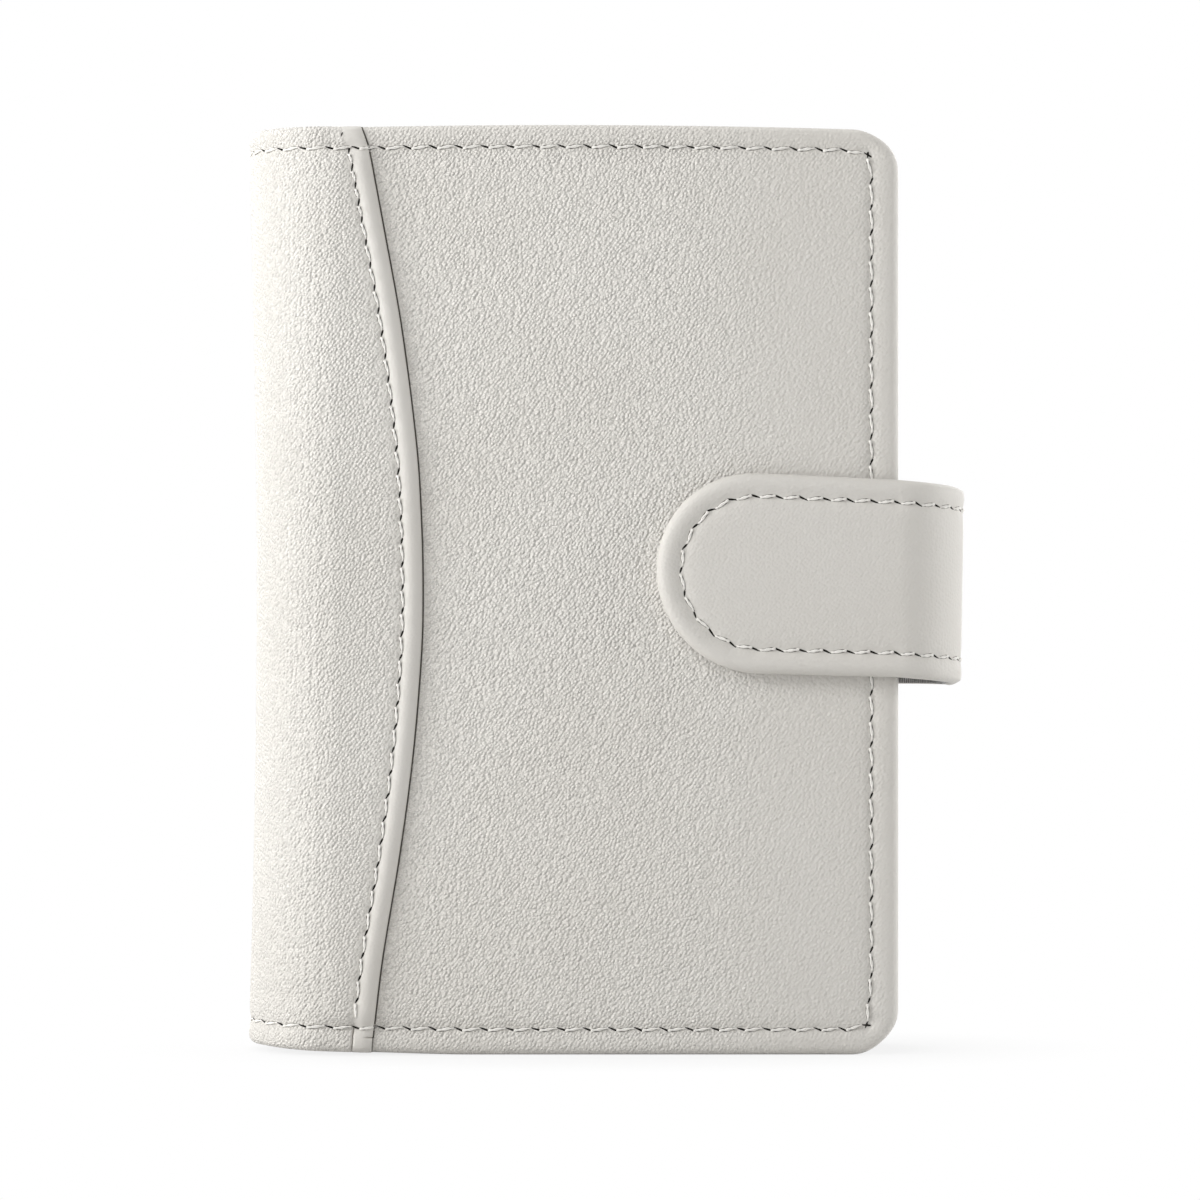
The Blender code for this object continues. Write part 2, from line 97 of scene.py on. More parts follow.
class Shade:
    """One socket of a material's nodes; sums and products of them add the Math nodes."""

    def __init__(self, socket):
        self.socket = socket

    def node(self, kind, settings, sockets, output=0):
        """Adds any other node: its settings first, then the values or links of its sockets."""
        made = self.socket.id_data.nodes.new(kind)
        for name, value in settings.items():
            setattr(made, name, value)
        feed(made, sockets)
        return Shade(made.outputs[output])

    def maths(self, operation, first, second):
        return self.node("ShaderNodeMath", {"operation": operation}, {0: first, 1: second})

    def __add__(self, other):
        return self.maths("ADD", self, other)

    def __sub__(self, other):
        return self.maths("SUBTRACT", self, other)

    def __rsub__(self, other):
        return self.maths("SUBTRACT", other, self)

    def __mul__(self, other):
        return self.maths("MULTIPLY", self, other)

    __radd__ = __add__
    __rmul__ = __mul__

    def least(self, other):
        return self.maths("MINIMUM", self, other)

    def within(self, low, high):
        """0 below low, 1 above high and an even, soft climb between them."""
        settings = {"interpolation_type": "SMOOTHSTEP"}
        return self.node("ShaderNodeMapRange", settings, {"Value": self, "From Min": low, "From Max": high})

    def between(self, first, second):
        """A colour mixed from two, with this as the share of the second."""
        colours = {0: self, 6: (*first, 1), 7: (*second, 1)}
        return self.node("ShaderNodeMix", {"data_type": "RGBA"}, colours, 2)

    def axis(self, letter):
        return self.node("ShaderNodeSeparateXYZ", {}, {"Vector": self}, letter)

    def stretched(self, *scale):
        return self.node("ShaderNodeMapping", {}, {"Vector": self, "Scale": scale})

    def noise(self, scale, detail=2.0):
        """A soft mottling over this place, the finer the larger its scale."""
        sockets = {"Vector": self, "Scale": scale, "Detail": detail}
        return self.node("ShaderNodeTexNoise", {}, sockets, "Fac")

    def relief(self, depth):
        """The normal of a surface that stands proud by depth times this."""
        return self.node("ShaderNodeBump", {}, {"Distance": depth, "Height": self})


def new_material(name):
    """A material, and the place on the object that its patterns start from."""
    made = bpy.data.materials.new(name)
    made.use_nodes = True
    return made, Shade(made.node_tree.nodes.new("ShaderNodeTexCoord").outputs["Object"])


def finish(material, sockets):
    feed(material.node_tree.nodes["Principled BSDF"], sockets)


def seen_directly(tree):
    """1 for what the camera sees itself, or in gloss or through glass."""
    path = tree.nodes.new("ShaderNodeLightPath")
    rays = [Shade(path.outputs["Is " + kind + " Ray"]) for kind in ("Camera", "Glossy", "Transmission")]
    return (rays[0] + rays[1] + rays[2]).least(1.0)


def new_object(data):
    """An object in the scene that shows a lamp, camera or mesh and has its name."""
    made = bpy.data.objects.new(data.name, data)
    bpy.context.scene.collection.objects.link(made)
    return made


bpy.context.scene.view_settings.view_transform = "Standard"
lens = bpy.data.cameras.new("camera")
lens.sensor_width = 36
lens.lens = CAMERA_LENS
lens.clip_start = 0.01
camera = new_object(lens)
camera.location = CAMERA_PLACE
camera.rotation_euler = (radians(90), 0, 0)
bpy.context.scene.camera = camera

for name, place, size, power in LIGHTS:
    lamp = bpy.data.lights.new(name, "AREA")
    lamp.shape = "SQUARE"
    lamp.size = size
    lamp.energy = power
    light = new_object(lamp)
    light.location = place
    light.rotation_euler = (LIT_CENTRE - Vector(place)).to_track_quat("-Z", "Y").to_euler()

world = bpy.data.worlds.new("tent")
bpy.context.scene.world = world
world.use_nodes = True
tent_strength = TENT_LEVEL + (1 - TENT_LEVEL) * seen_directly(world.node_tree)
feed(world.node_tree.nodes["Background"], {"Color": WHITE, "Strength": tent_strength})

floor_mesh = bpy.data.meshes.new("floor")
floor_corners = ((-1, -1), (1, -1), (1, 1), (-1, 1))
floor_mesh.from_pydata([(x * FLOOR_HALF, y * FLOOR_HALF, 0) for x, y in floor_corners], [], [(0, 1, 2, 3)])
new_object(floor_mesh)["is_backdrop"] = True
floor_white, place = new_material("floor_white")
floor_mesh.materials.append(floor_white)
finish(floor_white, {"Base Color": FLOOR_PAPER, "Roughness": FLOOR_ROUGHNESS})
squeezed = place.node("ShaderNodeVectorMath", {"operation": "MULTIPLY"}, {0: place, 1: SHADOW_OUTLINE})
away = squeezed.node("ShaderNodeVectorMath", {"operation": "LENGTH"}, {0: squeezed}, "Value")
glowing = seen_directly(floor_white.node_tree) * (1 - FLOOR_SHADOW * (1 - away.within(*SHADOW_REACH)))
floor_nodes = floor_white.node_tree.nodes
paper = Shade(floor_nodes["Principled BSDF"].outputs[0])
glow = paper.node("ShaderNodeEmission", {}, {"Color": WHITE})
both = paper.node("ShaderNodeMixShader", {}, {0: glowing, 1: paper, 2: glow})
feed(floor_nodes["Material Output"], {"Surface": both})


# The two covers: smooth calf leather drawn over a stiff board and turned in round its edges,
# sewn all round just inside the edge, where the thread pulls it into a shallow channel.
MM = 0.001
HEIGHT = 108 * MM
COVER_WIDTH = 75 * MM
STRAP_REACH = 8.7 * MM
LEFT = -(COVER_WIDTH + STRAP_REACH) / 2
SPINE_RADIUS = 10.2 * MM
SPINE_CENTRE = LEFT + SPINE_RADIUS
SPINE_GAP = 0.8 * MM
COVER_START = SPINE_CENTRE + SPINE_GAP
FORE_EDGE = LEFT + COVER_WIDTH
COVER_FACE = 9.0 * MM
SEWN_ABOVE = COVER_FACE - 0.5 * MM
CORNER_RADIUS = 5.1 * MM
CORNER_TIGHTENING = 1.6
LEAST_CORNER = 0.25 * MM
SKIN_STEP = 0.6 * MM
SPINE_STRETCH = 1.095
BACK, FRONT = 1, -1

# The seam, its holes in the two right corners, and the straight runs that end before them.
EDGE_SEAM = 2.8 * MM
STITCH_PITCH = 2.96 * MM
LOW_CORNER_IN, LOW_CORNER_UP = 0.60 * MM, 0.49 * MM
HIGH_CORNER_IN, HIGH_CORNER_DOWN = 0.42 * MM, 0.48 * MM
LEVEL_RUN_END = 3.2 * MM
SIDE_RUN_START, SIDE_RUN_END = 6 * MM, 2.4 * MM
PUCKER_DEPTH = 0.12 * MM
PUCKER_REACH = 0.75 * MM

# The seam draws the edges beside it in, the top droops to both sides, and the bottom edge rises
# towards the spine. A fade is the power of the height by which the last two die away.
SEAM_LIFT = 0.22 * MM
SIDE_LIFT = 0.38 * MM
TOP_DROOP = 0.45 * MM
DROOP_CENTRE = -6 * MM
DROOP_RUN = 32 * MM
DROOP_LIMIT = 1.5
DROOP_FADE = 3
SPINE_RISE = 0.75 * MM
RISE_START = 14 * MM
RISE_RUN = 24.5 * MM
RISE_CURVE = 1.2
RISE_FADE = 8

LEATHER_COLOUR = (0.627, 0.604, 0.564)
LEATHER_LIGHT = (0.652, 0.631, 0.593)
COVER_GRAIN = 0.34 * MM
GRAIN_SCALE = 2900.0
GRAIN_LOOSENESS = 0.70
GRAIN_LENGTH = 1.25
GRAIN_LEAN = radians(36)
GRAIN_PALER = 0.13
HIDE_SCALE = 420.0
HIDE_SHARE = 0.3
CLOUD_SCALE = 38.0
SMOOTH_SHARE = 0.7
SMOOTH_RUN = (5 * MM, 23 * MM)
EDGE_GRAIN = 0.45
EDGE_GRAIN_RUN = 4 * MM
SHARP_ANGLE = 45


def in_metres(rows):
    """Pairs of measures that are given in millimetres."""
    return [(first * MM, second * MM) for first, second in rows]


# Inset from the cover's edge and distance from the wallet's middle plane,
# from the turned-in leather on the inside, round the edge and across the face.
COVER_SECTION = in_metres((
    (1.30, 8.00), (1.28, 6.32), (1.15, 6.06), (0.80, 5.98), (0.42, 6.06), (0.14, 6.34), (0.00, 6.80),
    (0.00, 7.60), (0.04, 8.04), (0.14, 8.38), (0.31, 8.65), (0.56, 8.83), (0.88, 8.93), (1.25, 8.97),
    (1.75, 8.965), (2.25, 8.91), (2.55, 8.83), (2.80, 8.78), (3.00, 8.81), (3.25, 8.88), (3.60, 8.935),
    (4.10, 8.97), (4.90, 8.985), (6.30, 9.00)))


def clipped(value):
    return min(1, max(0, value))


def bell(distance, reach):
    """1 at no distance, falling softly to nothing beyond the reach."""
    return exp(-(distance / reach) ** 2)


def from_end(v):
    return min(v, HEIGHT - v)


def beside_seam(distance):
    """1 at the edge seam, falling to nothing at the leather's end and well inside it."""
    share = max(0, distance) / EDGE_SEAM
    return (share * exp(1 - share)) ** 2


def on_cover(side):
    """Lays a flat piece on one cover and round the spine's curve; u runs along X, v up."""
    def lay(u, v, out):
        droop = TOP_DROOP * min(DROOP_LIMIT, ((max(u, SPINE_CENTRE) - DROOP_CENTRE) / DROOP_RUN) ** 2)
        risen = clipped((SPINE_CENTRE + RISE_START - u) / RISE_RUN)
        v += SPINE_RISE * risen ** RISE_CURVE * max(0, 1 - v / HEIGHT) ** RISE_FADE
        v += SEAM_LIFT * (beside_seam(v) + beside_seam(HEIGHT - v)) - droop * max(0, v / HEIGHT) ** DROOP_FADE
        u -= SIDE_LIFT * beside_seam(FORE_EDGE - u)
        if u >= SPINE_CENTRE:
            return Vector((u, side * out, v))
        turn = (SPINE_CENTRE - u) / SPINE_RADIUS
        return Vector((SPINE_CENTRE - SPINE_STRETCH * out * sin(turn), side * out * cos(turn), v))
    return lay


def three_sides(left, right, low, high, radius, inset, step, tightening=1.0):
    """Points along the bottom, right and top of a round-cornered rectangle, moved in by inset.

    Any inset gives as many points, so such lines can be joined into a skin.
    """
    across = max(1, round((right - radius - left) / step))
    upright = round((high - low - 2 * radius) / step)
    turns = max(5, round(radius * pi / 2 / step))
    tight = max(radius - tightening * inset, LEAST_CORNER)
    right, low, high = right - inset, low + inset, high - inset
    level = right - tight - left
    corner = [(tight * sin(pi / 2 * k / turns), tight * cos(pi / 2 * k / turns)) for k in range(turns)]
    points = [(left + level * k / across, low) for k in range(across)]
    points += [(right - tight + x, low + tight - y) for x, y in corner]
    points += [(right, low + tight + (high - low - 2 * tight) * k / upright) for k in range(upright)]
    points += [(right - tight + y, high - tight + x) for x, y in corner]
    return points + [(right - tight - level * k / across, high) for k in range(across + 1)]


def seam(line, pitch=STITCH_PITCH):
    """Needle holes along a line, a whole number of equal stitches apart, each with its direction."""
    points = [Vector(point) for point in line]
    reached = [0.0]
    for first, second in zip(points, points[1:]):
        reached.append(reached[-1] + (second - first).length)
    count = max(1, round(reached[-1] / pitch))
    holes = []
    for k in range(count + 1):
        distance = reached[-1] * k / count
        index = min(max(bisect_right(reached, distance) - 1, 0), len(points) - 2)
        way = (points[index + 1] - points[index]).normalized()
        holes.append((points[index] + way * (distance - reached[index]), way))
    return holes


def pulled_by(seams):
    """How far the leather is drawn in at a place, most right beside a needle hole."""
    holes = [hole for line in seams for hole, way in line]
    tree = KDTree(len(holes))
    for index, hole in enumerate(holes):
        tree.insert((hole.x, hole.y, 0), index)
    tree.balance()
    return lambda u, v: PUCKER_DEPTH * bell(tree.find((u, v, 0))[2], PUCKER_REACH)


def write_shape(shape, mesh, sharp_angle):
    """Turns a closed shape's faces outwards and writes it, smooth but for its sharp edges."""
    bmesh.ops.recalc_face_normals(shape, faces=shape.faces)
    if shape.calc_volume(signed=True) < 0:
        bmesh.ops.reverse_faces(shape, faces=shape.faces)
    shape.to_mesh(mesh)
    shape.free()
    mesh.shade_smooth()
    mesh.set_sharp_from_angle(angle=radians(sharp_angle))


def made_object(name, verts, faces, material, sharp_angle=SHARP_ANGLE):
    mesh = bpy.data.meshes.new(name)
    mesh.from_pydata(verts, [], faces)
    shape = bmesh.new()
    shape.from_mesh(mesh)
    write_shape(shape, mesh, sharp_angle)
    mesh.materials.append(material)
    return new_object(mesh)


def finish_shape(made, creases, lay, grain):
    """Creases a flat piece, marks how grained each point of it is, and lays it in place."""
    shape = bmesh.new()
    shape.from_mesh(made.data)
    for place in creases:
        everything = shape.verts[:] + shape.edges[:] + shape.faces[:]
        bmesh.ops.bisect_plane(shape, geom=everything, dist=1e-7, plane_co=(place, 0, 0), plane_no=(1, 0, 0))
    flat = [tuple(vertex.co) for vertex in shape.verts]
    if lay:
        for vertex in shape.verts:
            vertex.co = lay(*vertex.co)
    write_shape(shape, made.data, SHARP_ANGLE)
    marks = made.data.attributes.new("grain", "FLOAT", "POINT")
    marks.data.foreach_set("value", [grain(*place) if grain else 1.0 for place in flat])


def faces_between(base, rows, size, looped):
    """Faces between neighbouring rows of points, which start at base."""
    faces = []
    for start in range(base, base + (rows - 1) * size, size):
        for k in range(size if looped else size - 1):
            first, second = start + k, start + (k + 1) % size
            faces.append((first, second, second + size, first + size))
    return faces


def tube_faces(base, rows, size, looped=True):
    """Faces of a tube through rows of points, with its two ends."""
    last = base + (rows - 1) * size
    ends = [tuple(range(base + size - 1, base - 1, -1)), tuple(range(last, last + size))]
    return ends + faces_between(base, rows, size, looped)


def skin(name, rings, material, creases=(), lay=None, grain=None, looped=False):
    """A closed skin through a stack of lines, with a face over each end of the stack.

    Creases are places in u where the flat skin is cut across before lay bends it. Lines that
    aren't looped leave one straight side, which gets a face of its own.
    """
    size, rows = len(rings[0]), range(len(rings))
    faces = tube_faces(0, len(rings), size, looped)
    if not looped:
        faces.append(tuple(row * size for row in rows) +
                     tuple(row * size + size - 1 for row in reversed(rows)))
    made = made_object(name, [point for ring in rings for point in ring], faces, material)
    finish_shape(made, creases, lay, grain)
    return made


def grain_inside(distance, least=EDGE_GRAIN):
    """Leather is stretched smoother at an edge than at a distance inside it."""
    return least + (1 - least) * min(1, distance / EDGE_GRAIN_RUN)


def leather(name, grain_depth, smoothed=0.0):
    """Pale leather with a soft sheen and a fine pebbled grain, its pebbles long and leaning.

    The colour is lifted where the grain is deep, as its hollows darken it. Smoothed is how much
    of the grain is gone at the fore-edge, where the hide is flatter.
    """
    made, place = new_material(name)
    drawn = place.node("ShaderNodeMapping", {"vector_type": "TEXTURE"},
                       {"Vector": place, "Rotation": (0, GRAIN_LEAN, 0), "Scale": (1, 1, GRAIN_LENGTH)})
    cells = {"Vector": drawn, "Scale": GRAIN_SCALE, "Randomness": GRAIN_LOOSENESS}
    pebble = drawn.node("ShaderNodeTexVoronoi", {}, cells, "Distance")
    strength = place.node("ShaderNodeAttribute", {"attribute_name": "grain"}, {}, "Fac")
    if smoothed:
        strength = strength * (1 - smoothed * place.axis("X").within(*SMOOTH_RUN))
    height = (drawn.noise(HIDE_SCALE, 3.0) * HIDE_SHARE - pebble) * strength
    cloud = place.noise(CLOUD_SCALE, 4.0).within(0.3, 0.7)
    lifted = 1 + GRAIN_PALER * (grain_depth / COVER_GRAIN) ** 2 * strength * strength
    colour = place.node("ShaderNodeVectorMath", {"operation": "SCALE"},
                        {0: cloud.between(LEATHER_COLOUR, LEATHER_LIGHT), "Scale": lifted})
    finish(made, {"Base Color": colour, "Normal": height.relief(grain_depth),
                  "Roughness": 0.60 - 0.10 * pebble, "Specular IOR Level": 0.35})
    return made


COVERS = (("back", BACK, on_cover(BACK)), ("front", FRONT, on_cover(FRONT)))
cover_leather = leather("cover_leather", COVER_GRAIN, SMOOTH_SHARE)

# The edge seam's three runs, from the middle of the spine round and back to it.
spine_middle = SPINE_CENTRE - SPINE_RADIUS * pi / 2
seam_low, seam_high, seam_right = EDGE_SEAM, HEIGHT - EDGE_SEAM, FORE_EDGE - EDGE_SEAM
low_corner = (seam_right - LOW_CORNER_IN, seam_low + LOW_CORNER_UP)
high_corner = (seam_right - HIGH_CORNER_IN, seam_high - HIGH_CORNER_DOWN)
bottom_seam = seam([(spine_middle, seam_low), (seam_right - LEVEL_RUN_END, seam_low), low_corner])
side_seam = seam([low_corner, (seam_right, seam_low + SIDE_RUN_START),
                  (seam_right, seam_high - SIDE_RUN_END), high_corner])
top_seam = seam([high_corner, (seam_right - LEVEL_RUN_END, seam_high), (spine_middle, seam_high)])
perimeter_pull = pulled_by([bottom_seam, side_seam, top_seam])

cover_rings = []
for inset, out in COVER_SECTION:
    line = three_sides(COVER_START, FORE_EDGE, 0, HEIGHT, CORNER_RADIUS, inset, SKIN_STEP, CORNER_TIGHTENING)
    cover_rings.append([(u, v, out - (perimeter_pull(u, v) if out > SEWN_ABOVE else 0)) for u, v in line])
for word, side, lay in COVERS:
    cover_skin = skin(word + "_cover_skin", cover_rings, cover_leather, lay=lay,
                      grain=lambda u, v, out: grain_inside(min(from_end(v), FORE_EDGE - u)))
    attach(cover_skin, word + "_cover")
    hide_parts(word + "_cover_leather")


# The sewing: two plies of pale waxed thread twisted round each other, in stitches that lie a
# little aslant. Each needle slit is a dark lens whose colour is painted shade, and each stitch presses
# a crease into the leather whose darkness is painted shade.
THREAD_PLY = 0.105 * MM
PLY_SPREAD = 0.085 * MM
PLY_FLATNESS = 0.5
THREAD_TWIST = pi
THREAD_SLANT = radians(9)
STITCH_GAP = 0.80 * MM
# Heights of a stitch above the leather, counted in plies: its middle's, the extra of the end that
# stands up, and the depth that the other end goes down.
MIDDLE_HEIGHT, END_RISE, END_DIP = 0.95, 0.25, 1.5
BLUNT_RUN, BLUNT_SHARE = 0.2, 0.9
SLIT_SLANT = radians(-20)
SLANT_CHANGE = radians(5)
SLIT_LENGTH = 1.22 * MM
SHORT_SLIT = 0.86 * MM
LENGTH_CHANGE = 0.10
SLIT_WIDTH = 0.31 * MM
CREASE_WIDTH = 0.60 * MM
CREASE_GAP = 0.8 * STITCH_GAP
LENS_FULLNESS = 0.25
UPRIGHT = 0.7
ROUND_SHARP_ANGLE = 80
# Size of each ring of a slit or crease, and how far out of the leather it lies, in millimetres.
SLIT_RINGS = ((0.6, -0.20), (1.0, 0.020), (0.55, 0.040))
CREASE_RINGS = ((0.9, -0.10), (1.0, 0.014), (0.5, 0.018))

thread_material, place = new_material("waxed_thread")
fibres = place.noise(5200.0)
finish(thread_material, {"Base Color": fibres.between((0.74, 0.72, 0.68), (0.92, 0.90, 0.86)),
                         "Roughness": 0.50 + 0.25 * fibres, "Normal": fibres.relief(0.03 * MM)})
# The slits' near-black colour is painted shade, standing for the dark inside of each hole.
hole_shade_material, place = new_material("needle_hole")
finish(hole_shade_material, {"Base Color": place.noise(1500.0).between((0.012, 0.011, 0.01), (0.035, 0.032, 0.028)),
                       "Roughness": 0.95, "Specular IOR Level": 0.1})
# The creases' dark colour is painted shade, standing for the shadow where the thread presses in.
crease_shade_material, place = new_material("pressed_crease")
finish(crease_shade_material, {"Base Color": place.noise(2500.0).between((0.10, 0.094, 0.083), (0.30, 0.285, 0.26)),
                         "Roughness": 0.8})


def unlike(hole, number):
    """A number from -1 to 1 that differs from hole to hole, as no two stitches are alike."""
    return sin(hole.x / MM * 12.9 + hole.y / MM * 7.3 + number * 2.1)


def stitch_rows(seams, hand):
    """Each stitch's middle, length, its way along and across, and which end of it stands up."""
    for line in seams:
        for (start, _), (end, _) in zip(line, line[1:]):
            along = (end - start).normalized()
            across = Vector((-along.y, along.x)) * hand
            yield (start + end) / 2, (end - start).length, along, across, 1 if along.y > along.x else -1


def stitches(name, seams, lay, face, hand, outwards=1):
    """Two-ply stitches between neighbouring needle holes, lying a little aslant.

    The left or upper end of each stands up and ends blunt; the other end is pulled in.
    """
    verts, faces = [], []
    stations, sides = 11, 6
    for middle, length, along, across, proud in stitch_rows(seams, hand):
        half = (length - STITCH_GAP) / 2
        for ply in (0, pi):
            base = len(verts)
            for station in range(stations):
                share = sin((2 * station / (stations - 1) - 1) * pi / 2)
                toward = share * proud
                pulled_in = max(0, -toward) ** 3
                blunt = max(0, (toward - 1 + BLUNT_RUN) / BLUNT_RUN) ** 2
                core = middle + along * (half * share) + across * (half * share * sin(THREAD_SLANT))
                lift = THREAD_PLY * (MIDDLE_HEIGHT + END_RISE * toward - END_DIP * pulled_in)
                thin = (1 - BLUNT_SHARE * blunt) ** 0.5 * (1 - 0.5 * pulled_in)
                angle = ply + THREAD_TWIST * share
                for k in range(sides):
                    turn = 2 * pi * k / sides
                    sideways = PLY_SPREAD * thin * cos(angle) + THREAD_PLY * thin * cos(turn)
                    up = PLY_SPREAD * PLY_FLATNESS * sin(angle) + THREAD_PLY * thin * sin(turn)
                    spot = core + across * sideways
                    verts.append(lay(spot.x, spot.y, face(core.x, core.y) + outwards * (lift + up)))
            faces += tube_faces(base, stations, sides)
    made = made_object(name, verts, faces, thread_material, ROUND_SHARP_ANGLE)
    return made


def needle_holes(name, seams, lay, face, hand, outwards=1, scale=1.0):
    """Painted shade: a dark lens for the slit at each needle hole, lying aslant, and a dark lens in the
    crease each stitch presses.
    """
    verts, faces = [], []
    sides = 12

    def lens(middle, long_way, length, width, fuller, rings):
        """A closed lens whose one end is fuller."""
        wide_way = Vector((-long_way.y, long_way.x))
        base = len(verts)
        for size, depth in rings:
            for k in range(sides):
                turn = 2 * pi * k / sides
                taper = 1 - LENS_FULLNESS + fuller * LENS_FULLNESS * cos(turn)
                spot = middle + long_way * (size * length / 2 * cos(turn))
                spot = spot + wide_way * (size * taper * width / 2 * sin(turn))
                verts.append(lay(spot.x, spot.y, face(spot.x, spot.y) + outwards * depth * MM))
        return tube_faces(base, len(rings), sides)

    for line in seams:
        for hole, along in line:
            upright = abs(along.y) > UPRIGHT
            across = Vector((-along.y, along.x)) * hand
            slant = SLIT_SLANT + SLANT_CHANGE * unlike(hole, 1)
            length = scale * (SHORT_SLIT if upright else SLIT_LENGTH) * (1 + LENGTH_CHANGE * unlike(hole, 2))
            long_way = along * cos(slant) + across * sin(slant)
            fuller = 1 if (long_way.y if upright else long_way.x) > 0 else -1
            faces += lens(hole, long_way, length, SLIT_WIDTH * scale, fuller, SLIT_RINGS)
    slit_count = len(faces)
    for middle, length, along, across, proud in stitch_rows(seams, hand):
        long_way = along * cos(THREAD_SLANT) + across * sin(THREAD_SLANT)
        faces += lens(middle, long_way, length - CREASE_GAP, CREASE_WIDTH, proud, CREASE_RINGS)
    made = made_object(name, verts, faces, hole_shade_material, ROUND_SHARP_ANGLE)
    made.data.materials.append(crease_shade_material)
    made.data.polygons.foreach_set("material_index", [int(k >= slit_count) for k in range(len(faces))])
    return made


SEWING = (("stitches", stitches), ("needle_holes", needle_holes))


def on_span(line, low, high):
    """The part of a seam whose stitches have their middle between two places."""
    ordered = line if line[0][0].x < line[-1][0].x else line[::-1]
    kept = []
    for first, second in zip(ordered, ordered[1:]):
        middle = (first[0].x + second[0].x) / 2
        if low <= middle < high:
            kept = kept or [first]
            kept.append(second)
    return kept if line is ordered else kept[::-1]


# Inside each cover: a suede lining over the grey board, and over that a slip pocket of the same
# leather with a thumb notch, sewn down along its two sides and its bottom edge.
LINING_START = SPINE_CENTRE + 1.2 * MM
LINING_SECTION = in_metres((
    (1.46, 6.52), (1.46, 6.25), (1.52, 6.09), (1.66, 6.01), (1.95, 5.99), (2.30, 5.99), (2.55, 6.03),
    (2.80, 6.08), (3.05, 6.03), (3.40, 5.99), (4.30, 5.98)))
LINING_FACE = 6.06 * MM
POCKET_SECTION = in_metres((
    (0.30, 5.71), (0.10, 5.66), (0.00, 5.48), (0.00, 5.20), (0.08, 5.02), (0.24, 4.93), (0.60, 4.90),
    (0.95, 4.89)))
POCKET_FACE = 4.92 * MM
POCKET_LEFT = SPINE_CENTRE + 3.0 * MM
POCKET_RIGHT = FORE_EDGE - 3.0 * MM
POCKET_LOW = 1.5 * MM
POCKET_HIGH = POCKET_LOW + 70 * MM
POCKET_CORNER = 3.5 * MM
POCKET_SEAM = 1.2 * MM
NOTCH_RADIUS = 9.0 * MM
NOTCH_LIP = 1.2 * MM


def inset_loop(points, inset):
    """A closed line, anticlockwise, with each point moved inwards square to the line."""
    moved = []
    for k, (x, y) in enumerate(points):
        before, after = points[k - 1], points[(k + 1) % len(points)]
        first = Vector((x - before[0], y - before[1])).normalized()
        second = Vector((after[0] - x, after[1] - y)).normalized()
        normal = Vector((-(first + second).y, (first + second).x)).normalized()
        reach = inset / max(0.5, normal.dot(Vector((-first.y, first.x))))
        moved.append((x + normal.x * reach, y + normal.y * reach))
    return moved


def straight(start, end, count):
    """Points along a straight line, without the last."""
    across, up = end[0] - start[0], end[1] - start[1]
    return [(start[0] + across * k / count, start[1] + up * k / count) for k in range(count)]


def arc(x, y, radius, start, end):
    """Points round a centre between two angles in degrees, without the last."""
    count = max(4, round(abs(radians(end - start)) * radius / SKIN_STEP))
    turns = [radians(start + (end - start) * k / count) for k in range(count)]
    return [(x + radius * cos(turn), y + radius * sin(turn)) for turn in turns]


def pocket_line():
    """The slip pocket's outline, anticlockwise from its lower left corner."""
    left, right, low, high = POCKET_LEFT, POCKET_RIGHT, POCKET_LOW, POCKET_HIGH
    rounded, under_lip, middle = low + POCKET_CORNER, high - NOTCH_LIP, (left + right) / 2
    line = straight((left, low), (right - POCKET_CORNER, low), 60)
    line += arc(right - POCKET_CORNER, rounded, POCKET_CORNER, -90, 0)
    line += straight((right, rounded), (right, under_lip), 70)
    for start, end in ((right - NOTCH_LIP, middle + NOTCH_RADIUS + NOTCH_LIP),
                       (middle - NOTCH_RADIUS - NOTCH_LIP, left + NOTCH_LIP)):
        line += arc(start, under_lip, NOTCH_LIP, 0, 90)
        line += straight((start, high), (end, high), 24)
        line += arc(end, under_lip, NOTCH_LIP, 90, 180)
        if end > middle:
            line += arc(middle, under_lip, NOTCH_RADIUS, 0, -180)
    return line + straight((left, under_lip), (left, low), 70)


def dress(node, material):
    """Gives a CAD node that keeps its shape its finish."""
    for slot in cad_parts[node].material_slots:
        slot.link = "OBJECT"
        slot.material = material


pocket_leather = leather("pocket_leather", 0.7 * COVER_GRAIN)

# Suede has no gloss, and a cloudy nap that lies lighter and darker.
lining_suede, place = new_material("lining_suede")
nap, cloud = place.noise(2600.0, 3.0), place.noise(160.0, 4.0)
share = nap.within(0.25, 0.75) * 0.55 + cloud.within(0.3, 0.7) * 0.45
finish(lining_suede, {"Base Color": share.between((0.44, 0.42, 0.385), (0.60, 0.575, 0.535)),
                      "Normal": (nap + cloud).relief(0.08 * MM),
                      "Roughness": 0.86 + 0.12 * nap, "Specular IOR Level": 0.2})

grey_board, place = new_material("grey_board")
fibres = place.stretched(1, 1, 0.2).noise(3200.0, 4.0)
finish(grey_board, {"Base Color": fibres.within(0.3, 0.7).between((0.22, 0.205, 0.185), (0.36, 0.34, 0.31)),
                    "Normal": fibres.relief(0.04 * MM), "Roughness": 0.85 + 0.1 * fibres})

tinned_steel, place = new_material("tinned_steel")
rolled = place.stretched(0.1, 1, 1).noise(4000.0)
finish(tinned_steel, {"Base Color": rolled.between((0.50, 0.51, 0.52), (0.62, 0.62, 0.61)),
                      "Roughness": 0.28 + 0.22 * rolled, "Metallic": 1.0})

left, right, high = POCKET_LEFT + POCKET_SEAM, POCKET_RIGHT - POCKET_SEAM, POCKET_HIGH - POCKET_SEAM
corners = ((left, high), (left, EDGE_SEAM), (right, EDGE_SEAM), (right, high))
pocket_seam = [hole for ends in zip(corners, corners[1:]) for hole in seam(ends)]
inner_lines = [side_seam, on_span(top_seam, LINING_START, 1)]

